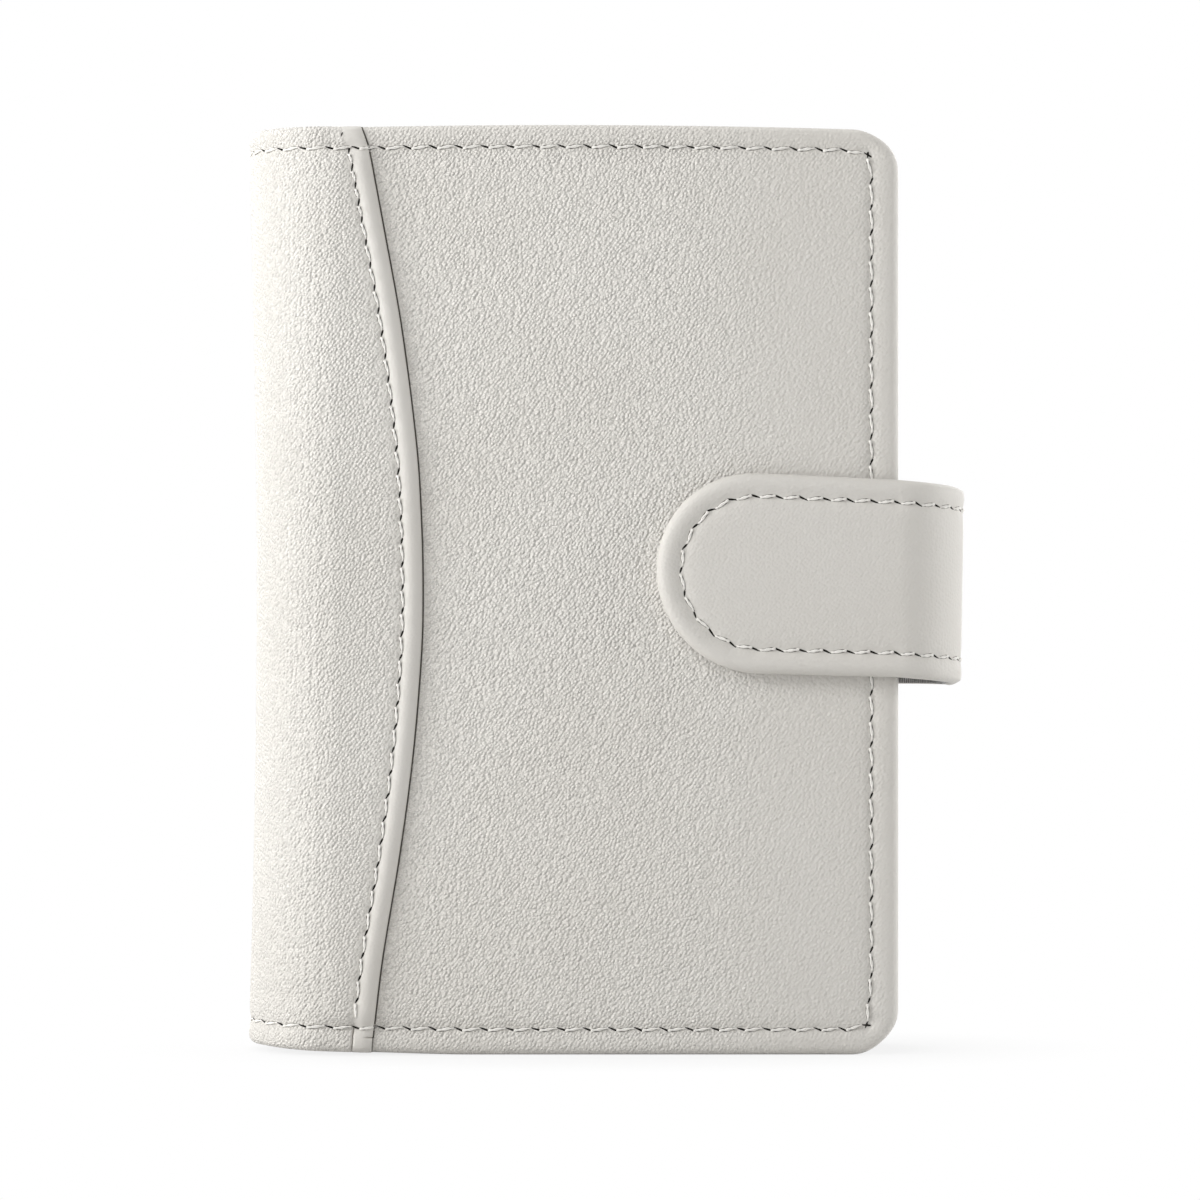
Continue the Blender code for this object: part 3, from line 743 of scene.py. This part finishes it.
lining_rings = []
for inset, out in LINING_SECTION:
    line = three_sides(LINING_START, FORE_EDGE, 0, HEIGHT, CORNER_RADIUS, inset, 3 * SKIN_STEP)
    lining_rings.append([(u, v, out) for u, v in line])
pocket_rings = [[(u, v, out) for u, v in inset_loop(pocket_line(), inset)] for inset, out in POCKET_SECTION]

for word, side, lay in COVERS:
    body = word + "_cover"
    lining = skin(word + "_cover_suede", lining_rings, lining_suede, lay=lay)
    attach(lining, body)
    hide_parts(word + "_cover_lining")

    pocket = skin(word + "_pocket_skin", pocket_rings, pocket_leather, lay=lay, looped=True)
    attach(pocket, body)
    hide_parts(word + "_slip_pocket")

    for kind, maker in SEWING:
        made = maker(word + "_pocket_" + kind, [pocket_seam], lay, lambda u, v: POCKET_FACE, side, -1)
        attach(made, body)
        made = maker(word + "_lining_" + kind, inner_lines, lay, lambda u, v: LINING_FACE, side, -1)
        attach(made, body)
    dress(word + "_cover_board", grey_board)
dress("keeper_plate", tinned_steel)


# The spine panel: a second piece of the same leather, laid over the spine and the inner edges
# of both covers. Its free edges are turned under into a soft roll and sewn down beside it.
PANEL_SEAM = 2.27 * MM
PANEL_PITCH = 2.68 * MM
CLOSE_PITCH = 1.95 * MM
# The seam's two runs: where each starts and ends above the table, in millimetres, and its pitch.
PANEL_RUNS = ((3.5, 97.0, PANEL_PITCH), (97.0, 104.9, CLOSE_PITCH))
LAST_HOLE = (Vector((-31.4 * MM, 106.9 * MM)), Vector((0.0, 1.0)))
LAST_HOLE_SCALE = 0.62
ROLL_CREST = 1.25 * MM
ROLL_END = 2.1 * MM
ROLL_GRAIN = 0.08
ROLL_GRAIN_RUN = 1.2 * MM
# Behind the roll the face sinks less where the panel is narrow.
LEAST_SINK = 0.35
NARROW_WIDTH = 2 * MM
NARROW_RUN = 3 * MM
SPINE_BOW = 0.85 * MM
# Both ends are pinched flat where they are sewn into the covers' edge.
FLATTENED = 0.45
PINCH_END = EDGE_SEAM - 0.4 * MM
PINCH_RUN = 1.6 * MM
PINCH_TURN = 0.35
# A crease runs down from the seam's lowest stitch, and a fold crosses the roll near the bottom.
END_CREASE = 0.42 * MM
END_CREASE_HALF = 0.055 * MM
END_CREASE_TOP = EDGE_SEAM + 0.3 * MM
FOLD_DEPTH = 0.35 * MM
FOLD_HALF = 0.07 * MM
FOLD_HEIGHT = 1.65 * MM
FADE_RUN = 0.5 * MM
PANEL_BACK = 9.2 * MM
TURNED_BACK = 8.0 * MM
TURNED_END = 1.25 * MM
LYING_GAP = 0.03 * MM
# Degrees of the spine's curve: one of its four strips, what a fold keeps unbent, and a column.
STRIP_ANGLE = 45
FOLD_MARGIN = 0.5
CURVE_STEP = 1.5
PANEL_COLUMNS = (0, 0.01, 0.06, 0.16, 0.32, 0.52, 0.75, 1.00, 1.25, 1.50, 1.75, 1.95, 2.12, 2.20, 2.27, 2.34,
                 2.42, 2.62)
FLAT_COLUMNS = 8
END_ROWS = (0, 0.05, 0.22, 0.50, 0.85, 1.20, 1.45, 1.56, 1.65, 1.74, 1.85, 2.25, 2.55, 2.80, 3.05, 3.45, 4.10,
            4.90)
ROW_STEP = 0.45 * MM
STRIP_ROW_STEP = 2.4 * MM
# The raw edge, a thin dark strip that is both the leather's dark cut edge and painted shade of the
# crevice under the roll: how wide it shows and reaches under, and how far it stands up, sinks and is
# pressed.
RAW_EDGE = 0.19 * MM
RAW_UNDER = 0.5 * MM
RAW_RISE = 0.05 * MM
RAW_SUNK = 0.15 * MM
RAW_PRESSED = 3
RAW_PRESS_HALF = 0.30 * MM


def smooth_through(points):
    """A function of x that passes smoothly through the given points, in order of x."""
    places, heights = zip(*points)

    def value(x):
        x = min(places[-1], max(places[0], x))
        k = min(bisect_right(places, x), len(places) - 1) - 1
        run = places[k + 1] - places[k]
        share = (x - places[k]) / run
        before = max(k - 1, 0)
        after = min(k + 2, len(places) - 1)
        slope_in = (heights[k + 1] - heights[before]) / (places[k + 1] - places[before]) * run
        slope_out = (heights[after] - heights[k]) / (places[after] - places[k]) * run
        square, cube = share ** 2, share ** 3
        return ((2 * cube - 3 * square + 1) * heights[k] + (cube - 2 * square + share) * slope_in +
                (3 * square - 2 * cube) * heights[k + 1] + (cube - square) * slope_out)
    return value


# Width of the spine panel's flat part against the height above the table, as it is cut, then
# how far out its face lies at an inset from its free edge, and how far its turned ends drop.
panel_width = smooth_through(in_metres((
    (0, 3.62), (3, 3.92), (11, 4.86), (23.7, 6.93), (35.4, 8.46), (47, 9.40), (54, 9.56), (62, 9.38),
    (70.3, 8.86), (84.3, 7.10), (96, 5.03), (105, 3.32), (106.2, 2.98), (108, 2.40))))
panel_section = smooth_through(in_metres((
    (0.00, 9.20), (0.01, 9.36), (0.06, 9.52), (0.16, 9.68), (0.32, 9.84), (0.52, 9.98), (0.75, 10.09),
    (1.00, 10.165), (1.25, 10.19), (1.50, 10.17), (1.75, 10.11), (1.95, 10.02), (2.12, 9.93), (2.27, 9.88),
    (2.42, 9.92), (2.62, 9.98), (2.90, 10.03), (3.40, 10.08), (4.20, 10.12), (5.50, 10.15), (9.70, 10.20))))
turned_drop = smooth_through(in_metres((
    (0.00, 0.85), (0.05, 0.58), (0.22, 0.29), (0.50, 0.10), (0.85, 0.015), (1.20, 0.0), (1.75, 0.02),
    (2.25, 0.09), (2.55, 0.17), (2.80, 0.20), (3.05, 0.16), (3.45, 0.07), (4.10, 0.02), (4.90, 0.0))))
cover_out = smooth_through(COVER_SECTION[7:])


def eased(share):
    return share * share * (3 - 2 * share)


def spine_u(degrees):
    """Where an angle of the spine's curve, from the flat cover, lies along a flat piece."""
    return SPINE_CENTRE - radians(degrees) * SPINE_RADIUS


def panel_edge(v):
    return SPINE_CENTRE + panel_width(v)


def bowed(u, v):
    """How far the round of the spine is hollowed along its length."""
    return SPINE_BOW * sin(pi * v / HEIGHT) * sin((SPINE_CENTRE - u) / SPINE_RADIUS) ** 2


def panel_out(u, v):
    """Distance of the spine panel's outer face from the spine's middle."""
    end = from_end(v)
    width = panel_width(v)
    inset = panel_edge(v) - u
    pinch = 1 - FLATTENED * (1 - clipped((end - PINCH_END) / PINCH_RUN))
    if u > SPINE_CENTRE:
        sink = SPINE_RADIUS - panel_section(inset)
        if inset > ROLL_CREST:
            sink *= min(1, max(LEAST_SINK, (width - NARROW_WIDTH) / NARROW_RUN))
        share = clipped((inset - PANEL_SEAM) / max(width - PANEL_SEAM, 0.1 * MM))
        out = COVER_FACE + (SPINE_RADIUS - sink * (1 - eased(share)) - COVER_FACE) * pinch
    else:
        near = max(0, 1 - (SPINE_CENTRE - u) / SPINE_RADIUS / PINCH_TURN)
        out = COVER_FACE + (SPINE_RADIUS - COVER_FACE) * (1 + (pinch - 1) * eased(near)) - bowed(u, v)
    out -= END_CREASE * bell(inset - PANEL_SEAM, END_CREASE_HALF) * clipped((END_CREASE_TOP - v) / FADE_RUN)
    out -= FOLD_DEPTH * bell(v - FOLD_HEIGHT, FOLD_HALF) * clipped(2 - inset / FADE_RUN)
    return out - turned_drop(end)


def panel_inner(u, v):
    """The panel's inner face: on the cover's leather, and turned in at the spine's two ends."""
    end = from_end(v)
    on_leather = cover_out(end) + LYING_GAP
    curved = TURNED_BACK if end < TURNED_END else PANEL_BACK
    if u < SPINE_CENTRE:
        curved -= bowed(u, v)
    return curved + (on_leather - curved) * clipped((u - SPINE_CENTRE) / SPINE_GAP)


def grid_solid(name, rows, columns, outer, inner, lay, material, grain=None):
    """A closed sheet of even rows and columns with its own outer and inner face."""
    verts = [(u, v, face(u, v)) for face in (outer, inner) for v in rows for u in columns(v)]
    layer = len(verts) // 2
    size = layer // len(rows)
    faces = faces_between(0, len(rows), size, False)
    faces += [face[::-1] for face in faces_between(layer, len(rows), size, False)]
    border = [*range(size), *range(2 * size - 1, layer, size), *range(layer - 2, layer - size - 1, -1),
              *range(layer - 2 * size, 0, -size)]
    for first, second in zip(border, border[1:] + border[:1]):
        faces.append((second, first, layer + first, layer + second))
    made = made_object(name, verts, faces, material)
    finish_shape(made, (), lay, grain)
    return made


def evenly(start, end, count):
    """The places that cut a run into a count of even steps, with both its ends."""
    return [start + (end - start) * k / count for k in range(count + 1)]


def curve_columns(start, count):
    return [spine_u(start - CURVE_STEP * k) for k in range(count)]


def panel_columns(v):
    edge = panel_edge(v)
    flat = evenly(SPINE_CENTRE, edge - PANEL_COLUMNS[-1] * MM, FLAT_COLUMNS)[:-1]
    roll = [edge - inset * MM for inset in reversed(PANEL_COLUMNS)]
    return curve_columns(STRIP_ANGLE, round(STRIP_ANGLE / CURVE_STEP)) + flat + roll


def strip_columns(v):
    return curve_columns(2 * STRIP_ANGLE, round(STRIP_ANGLE / CURVE_STEP) + 1)


def spread_rows(step):
    ends = [inset * MM for inset in END_ROWS]
    low, high = ends[-1], HEIGHT - ends[-1]
    middle = evenly(low, high, round((high - low) / step))[1:-1]
    return ends + middle + [HEIGHT - end for end in reversed(ends)]


def spine_bends(word, lay):
    """The bodies that each half of one side of the spine lies between, and where it bends."""
    first, fold, second, last = [lay(spine_u(degrees), HEIGHT / 2, SPINE_RADIUS) for degrees in (
        FOLD_MARGIN, STRIP_ANGLE - FOLD_MARGIN, STRIP_ANGLE + FOLD_MARGIN, 2 * STRIP_ANGLE - FOLD_MARGIN)]
    return ((word + "_cover", "spine_" + word, first, fold), ("spine_" + word, "spine_middle", second, last))


panel_seam = []
for first, last, pitch in PANEL_RUNS:
    run = seam([(panel_edge(v * MM) - PANEL_SEAM, v * MM) for v in evenly(first, last, 80)], pitch)
    panel_seam += run[1:] if panel_seam else run
panel_pull = pulled_by([panel_seam])


def panel_face(u, v):
    return panel_out(u, v) - panel_pull(u, v) - perimeter_pull(u, v)


def sewn_face(u, v):
    """The leather's outer face along the edge seam, whichever piece lies on top there."""
    out = panel_out(u, v) if u < panel_edge(v) else cover_out(min(FORE_EDGE - u, from_end(v)))
    return out - perimeter_pull(u, v)


def roll_grain(u, v, out):
    """Hardly any grain on the stretched roll, and full grain on the rest of the panel."""
    return min(1, ROLL_GRAIN + max(0, panel_edge(v) - u - ROLL_END) / ROLL_GRAIN_RUN)


def raw_columns(v):
    width = RAW_EDGE * (0.5 if v < FOLD_HEIGHT else 1)
    return [panel_edge(v) - RAW_UNDER, panel_edge(v) + width / 2, panel_edge(v) + width]


def raw_back(u, v):
    return cover_out(from_end(v)) - perimeter_pull(u, v) - RAW_SUNK


def raw_face(u, v):
    pressed = RAW_PRESSED * bell(from_end(v) - EDGE_SEAM, RAW_PRESS_HALF)
    return cover_out(from_end(v)) - perimeter_pull(u, v) + RAW_RISE * (1 - pressed)


panel_leather = leather("panel_leather", 0.85 * COVER_GRAIN)
# The raw edge's near-black colour is partly the leather's dark cut edge and partly painted shade of the
# crevice under the roll.
stained_edge, place = new_material("stained_edge")
edge_mottle = place.noise(2200.0)
finish(stained_edge, {"Base Color": edge_mottle.between((0.045, 0.041, 0.034), (0.11, 0.10, 0.083)),
                      "Roughness": 0.6 + 0.3 * edge_mottle})

for word, side, lay in COVERS:
    body = word + "_cover"
    side_bend, middle_bend = spine_bends(word, lay)
    rows = spread_rows(ROW_STEP)
    raw_edge = grid_solid(word + "_panel_raw_edge", rows, raw_columns, raw_face, raw_back, lay, stained_edge)
    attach(raw_edge, body)
    panel = grid_solid(word + "_spine_panel_skin", rows, panel_columns, panel_face, panel_inner, lay,
                       panel_leather, roll_grain)
    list(side_bend)
    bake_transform(panel)
    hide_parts(word + "_spine_panel", "spine_" + word + "_leather")
    strip = grid_solid(word + "_spine_middle_skin", spread_rows(STRIP_ROW_STEP), strip_columns, panel_face,
                       panel_inner, lay, panel_leather)
    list(middle_bend)
    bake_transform(strip)
    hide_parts("spine_middle_leather", "spine_" + word + "_leather")

    thread = stitches(word + "_panel_stitches", [panel_seam], lay, panel_face, -side)
    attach(thread, body)
    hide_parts(word + "_panel_thread")
    holes = needle_holes(word + "_panel_needle_holes", [panel_seam[1:]], lay, panel_face, -side)
    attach(holes, body)
    last_hole = needle_holes(word + "_panel_last_hole", [[LAST_HOLE]], lay, panel_face, -side,
                             scale=LAST_HOLE_SCALE)
    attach(last_hole, body)

    # The last span reaches a degree past the middle, so that it takes the stitch that ends there.
    spans = ((word + "_edge", SPINE_CENTRE, 1, None),
             (word + "_spine_side", spine_u(STRIP_ANGLE), SPINE_CENTRE, side_bend),
             (word + "_spine_middle", spine_u(2 * STRIP_ANGLE + 1), spine_u(STRIP_ANGLE), middle_bend))
    for name, low, high, bend in spans:
        lines = [on_span(bottom_seam, low, high), on_span(top_seam, low, high)]
        if bend is None:
            lines.append(side_seam)
        for kind, maker in SEWING:
            made = maker(name + "_" + kind, lines, lay, sewn_face, -side)
            if bend:
                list(bend)
                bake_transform(made)
            else:
                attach(made, body)
            if bend is None and kind == "stitches":
                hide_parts(word + "_edge_thread")


# The closing strap: the same leather over a stiff core, its edges turned round in a soft puffed
# rim, lined with ribbed ribbon whose hollows are painted dark as shade. It is sewn to the back cover
# and comes round the fore-edge.
STRAP_WIDTH = 23.2 * MM
STRAP_HALF = STRAP_WIDTH / 2
STRAP_OUTSIDE = 11.7 * MM
BEND_RADIUS = 8.5 * MM
BEND_REACH = 8.1 * MM
BEND_CENTRE = FORE_EDGE + BEND_REACH - BEND_RADIUS
CORNER_RUN = BEND_RADIUS * pi / 2
HALF_STRAIGHT = STRAP_OUTSIDE - BEND_RADIUS
FLAT_START = HALF_STRAIGHT + CORNER_RUN
TAB_TIP = FLAT_START + 27.7 * MM
ROOT_END = FLAT_START + 29.4 * MM
ROOT_CORNER = 2 * MM
STRAP_HEIGHT = 54.7 * MM
# The strap climbs a little to the tab's tip and narrows to the right, and its bend leans.
STRAP_RISE = 0.036
BEND_EXTRA_RISE = 0.030
BEND_LEAN = 0.36 * MM
NARROWING = 0.015
NARROWING_RUN = 15 * MM
TAB_SETTLED = 0.25 * MM
TAB_THINNED = 0.15
# Round the bend the leather is drawn taut, so its face lies flatter.
BEND_SLACK = 0.4
TAUT_FACE = 11.56 * MM
TAUT_ABOVE = TAUT_FACE - 0.3 * MM
TAUT_RUN = 6 * MM
STRAP_SEWN_ABOVE = 11 * MM
STRAP_SEAM = 2.8 * MM
SEAM_SHIFT = 0.07 * MM
STRAP_STEP = 0.55 * MM
STRAP_PITCH = 2.70 * MM
STRAP_EDGE_GRAIN = 0.5
STRAP_SECTION = in_metres((
    (1.30, 10.85), (1.28, 9.95), (1.15, 9.88), (0.80, 9.85), (0.45, 9.88), (0.20, 9.98), (0.05, 10.16),
    (0.00, 10.42), (0.04, 10.74), (0.17, 11.10), (0.40, 11.40), (0.72, 11.60), (1.10, 11.69), (1.45, 11.68),
    (1.80, 11.61), (2.15, 11.49), (2.45, 11.37), (2.68, 11.30), (2.82, 11.28), (2.98, 11.30), (3.22, 11.37),
    (3.60, 11.46), (4.20, 11.53), (5.20, 11.56), (7.00, 11.57)))


def on_strap(u, v, out):
    """Lays a flat piece along the strap; u runs from the bend's middle, positive to the tab."""
    side = FRONT if u > 0 else BACK
    run = abs(u)
    v *= 1 - NARROWING * clipped((FLAT_START + NARROWING_RUN - u) / NARROWING_RUN)
    settled = clipped((u - HALF_STRAIGHT) / CORNER_RUN)
    out -= settled * (TAB_SETTLED + TAB_THINNED * (out - COVER_FACE))
    radius = BEND_RADIUS - (STRAP_OUTSIDE - out)
    reach = radius - BEND_LEAN * (0.5 - v / STRAP_WIDTH)
    climb = max(0, min(FLAT_START, u))
    height = STRAP_HEIGHT + STRAP_RISE * max(0, u) + BEND_EXTRA_RISE * (climb - FLAT_START) + v
    if run <= HALF_STRAIGHT:
        return Vector((BEND_CENTRE + reach, side * run, height))
    if run <= FLAT_START:
        turn = (run - HALF_STRAIGHT) / BEND_RADIUS
        across = HALF_STRAIGHT + radius * sin(turn)
        return Vector((BEND_CENTRE + reach * cos(turn), side * across, height))
    return Vector((BEND_CENTRE - (run - FLAT_START), side * out, height))


def drawn_taut(u, out):
    """The strap's outer face lies flatter where the bend stretches it."""
    slack = min(1, max(BEND_SLACK, 1 - (FLAT_START - abs(u)) / TAUT_RUN))
    return TAUT_FACE + (out - TAUT_FACE) * slack if out > TAUT_ABOVE else out


def strap_line(way, end, corner, inset, step):
    """The outline of the strap's one half, open at the bend's middle."""
    return [(way * u, v) for u, v in three_sides(0, end, -STRAP_HALF, STRAP_HALF, corner, inset, step)]


def strap_bend(way, body):
    """The bodies that one half of the strap lies between, and where it bends."""
    return (body, "strap_bend", on_strap(way * FLAT_START, 0, STRAP_OUTSIDE),
            on_strap(way * HALF_STRAIGHT, 0, STRAP_OUTSIDE))


strap_out = smooth_through(STRAP_SECTION[7:])
strap_leather = leather("strap_leather", 0.15 * COVER_GRAIN)
strap_creases = [HALF_STRAIGHT / 2] + evenly(HALF_STRAIGHT, FLAT_START, 18)
strap_halves = (("root", -1, ROOT_END, ROOT_CORNER, strap_bend(-1, "back_cover")),
                ("tab", 1, TAB_TIP, STRAP_HALF, strap_bend(1, "strap_tab")))
for word, way, end, corner, bend in strap_halves:
    line = strap_line(way, end, corner, STRAP_SEAM, STRAP_STEP)
    strap_seam = seam([(u, v + SEAM_SHIFT * (1 + v / STRAP_HALF)) for u, v in line], STRAP_PITCH)
    pull = pulled_by([strap_seam])

    def strap_face(u, v):
        inset = STRAP_HALF - abs(v)
        past = abs(u) - (end - corner)
        if past > 0:
            beyond = Vector((past, max(0, abs(v) - (STRAP_HALF - corner)))).length
            inset = corner - beyond if abs(v) > STRAP_HALF - corner else min(inset, end - abs(u))
        return drawn_taut(u, strap_out(inset)) - pull(u, v)

    rings = [[(u, v, drawn_taut(u, out) - (pull(u, v) if out > STRAP_SEWN_ABOVE else 0))
              for u, v in strap_line(way, end, corner, inset, STRAP_STEP)] for inset, out in STRAP_SECTION]
    made = skin("strap_" + word + "_skin", rings, strap_leather, [way * place for place in strap_creases],
                on_strap, lambda u, v, out: grain_inside(STRAP_HALF - abs(v), STRAP_EDGE_GRAIN))
    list(bend)
    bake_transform(made)
    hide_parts("strap_" + word + "_leather", "strap_bend_leather")
    for kind, maker in SEWING:
        sewn = maker("strap_" + word + "_" + kind, [strap_seam], on_strap, strap_face, -1)
        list(bend)
        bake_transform(sewn)
        if kind == "stitches":
            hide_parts("strap_" + word + "_thread")


# Inside the strap: a stiff card core with a round magnet let into it near the tip, and the
# ribbon that lines it, woven in narrow ribs that run across the strap; painted shade darkens the
# hollows between the ribs.
CORE_INSET = 1.5 * MM
CORE_LAYER = (10.0 * MM, 10.6 * MM)
RIBBON_INSET = 0.12 * MM
RIBBON_LAYER = (9.36 * MM, 9.84 * MM)
RIBBON_MIDDLE = 9.74 * MM
HALF_RIB = 0.20 * MM
RIB_DEPTH = 0.14 * MM
MAGNET_FROM_TIP = 11.8 * MM
MAGNET_HOLE = 5.3 * MM
PUNCH_DEPTH = 2 * MM

ribbon, place = new_material("ribbed_ribbon")
threads = place.stretched(1, 1, 0.35).noise(6000.0)
raised = place.node("ShaderNodeAttribute", {"attribute_name": "grain"}, {}, "Fac")
# Light crests and near-black hollows: the fine thread mottling is the ribbon's own tone, and the hollows'
# darkness is painted shade.
rib_shade_share = threads.within(0.3, 0.7) * 0.25 + raised * 0.75
finish(ribbon, {"Base Color": rib_shade_share.between((0.07, 0.068, 0.065), (0.80, 0.785, 0.78)),
                "Normal": threads.relief(0.05 * MM), "Roughness": 0.70 + 0.2 * threads})


def on_rib(u, v, out):
    """1 on the crest of a rib and 0 in the hollow beside it."""
    return 1 - round(abs(u) / HALF_RIB) % 2


def ribbed(u, v, out):
    """Lays the ribbon along the strap with its inner face drawn into ribs."""
    return on_strap(u, v, out + (RIB_DEPTH * (1 - on_rib(u, v, out)) if out < RIBBON_MIDDLE else 0))


def punch_hole(piece, centre):
    """Cuts the round hole for the magnet through the strap's card."""
    shape = bmesh.new()
    bmesh.ops.create_cone(shape, cap_ends=True, segments=48, radius1=MAGNET_HOLE, radius2=MAGNET_HOLE,
                          depth=PUNCH_DEPTH)
    bmesh.ops.rotate(shape, verts=shape.verts, matrix=Matrix.Rotation(radians(90), 3, "X"))
    bmesh.ops.translate(shape, verts=shape.verts, vec=centre)
    punch_mesh = bpy.data.meshes.new("punch")
    shape.to_mesh(punch_mesh)
    shape.free()
    punch = new_object(punch_mesh)
    piece.modifiers.new("magnet_hole", "BOOLEAN").object = punch
    bored = bpy.data.meshes.new_from_object(piece.evaluated_get(bpy.context.evaluated_depsgraph_get()))
    piece.modifiers.clear()
    piece.data = bored
    bpy.data.objects.remove(punch)


for word, way, end, corner, bend in strap_halves:
    line = strap_line(way, end, corner, CORE_INSET, 2 * STRAP_STEP)
    core = skin("strap_" + word + "_card", [[(u, v, out) for u, v in line] for out in CORE_LAYER], grey_board,
                [way * place for place in strap_creases], on_strap)
    if word == "tab":
        punch_hole(core, on_strap(TAB_TIP - MAGNET_FROM_TIP, 0, sum(CORE_LAYER) / 2))
    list(bend)
    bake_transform(core)
    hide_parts("strap_" + word + "_core", "strap_bend_core")

    line = strap_line(way, end, corner, RIBBON_INSET, 2 * STRAP_STEP)
    ribs = [way * HALF_RIB * k for k in range(1, int((end - RIBBON_INSET) / HALF_RIB))]
    ribbon_piece = skin("strap_" + word + "_ribbon", [[(u, v, out) for u, v in line] for out in RIBBON_LAYER],
                        ribbon, ribs, ribbed, on_rib)
    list(bend)
    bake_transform(ribbon_piece)
    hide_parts("strap_" + word + "_lining", "strap_bend_lining")
dress("tab_magnet", tinned_steel)


# The inside of the spine: a suede strip behind the panel, and the binding strip in its hollow
# that the tongues of the clear card sleeves are held by.
HINGE_LAYER = (7.95 * MM, 8.40 * MM)
HINGE_END = 1.35 * MM
HINGE_LAP = 0.7 * MM
BINDING_FACE = SPINE_CENTRE - 5.6 * MM
BINDING_BACK = 7.7 * MM
BINDING_HALF = 4.3 * MM
BINDING_END = 5.0 * MM
# Distance from the binding strip's end, and how far in its rounded outline lies there.
BINDING_ROUND = in_metres(((0.0, 0.45), (0.12, 0.18), (0.40, 0.0)))

for word, side, lay in COVERS:
    side_bend, middle_bend = spine_bends(word, lay)
    rows = evenly(HINGE_END, HEIGHT - HINGE_END, 24)
    spans = (("side", spine_u(STRIP_ANGLE), SPINE_CENTRE + HINGE_LAP, side_bend, "spine_" + word),
             ("middle", spine_u(2 * STRIP_ANGLE), spine_u(STRIP_ANGLE), middle_bend, "spine_middle"))
    for name, start, end, bend, body in spans:
        columns = evenly(start, end, 30)
        hinge = grid_solid(word + "_hinge_" + name, rows, lambda v: columns, lambda u, v: HINGE_LAYER[1],
                           lambda u, v: HINGE_LAYER[0], lay, lining_suede)
        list(bend)
        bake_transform(hinge)
        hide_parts(body + "_lining")

widths = evenly(-BINDING_HALF, BINDING_HALF, 16)
binding_line = [(SPINE_CENTRE - (BINDING_BACK ** 2 - width ** 2) ** 0.5, width) for width in reversed(widths)]
binding_line += [(BINDING_FACE, width) for width in widths]
low_rings = [[(x, y, BINDING_END + height) for x, y in inset_loop(binding_line, inset)]
             for height, inset in BINDING_ROUND]
high_rings = [[(x, y, HEIGHT - z) for x, y, z in ring] for ring in reversed(low_rings)]
binding = skin("leaf_binding_strip", low_rings + high_rings, lining_suede, looped=True)
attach(binding, "spine_middle")
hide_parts("leaf_binding")


# The card sleeves: two clear films each, welded together along three edges with a fine dotted
# weld. The film is faintly grey, ripples a little and is cloudier where it is welded.
WELD = 1.5 * MM
WELD_EDGE = 0.8 * WELD
LEAF_COUNT = 8
LEAF_LOW = 5.0 * MM
LEAF_RIGHT = FORE_EDGE - 4.5 * MM
LEAF_LEFT = SPINE_CENTRE - 0.3 * MM

film, place = new_material("clear_film")
film_x, film_z = place.axis("X"), place.axis("Z")
nearest = (LEAF_RIGHT - film_x).least(film_x - LEAF_LEFT).least(film_z - LEAF_LOW)
welded = 1 - nearest.within(WELD_EDGE, WELD)
weld_points = {"Vector": place, "Scale": 2400.0, "Randomness": 0.0}
dots = place.node("ShaderNodeTexVoronoi", {}, weld_points, "Distance")
ripple = place.noise(55.0, 1.0)
film_height = ripple * 4 + dots.within(0.2, 0.5) * welded * 0.12
finish(film, {"Base Color": welded.between((0.86, 0.88, 0.89), (0.78, 0.80, 0.80)),
              "Normal": film_height.relief(0.2 * MM),
              "Roughness": 0.10 + 0.06 * ripple + 0.2 * welded,
              "Alpha": 0.20 + 0.04 * ripple + 0.25 * welded})
for number in range(1, LEAF_COUNT + 1):
    dress("leaf_" + str(number), film)

low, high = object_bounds()
{"cad": [list(cad_low), list(cad_high)], "visual": [list(low), list(high)]}
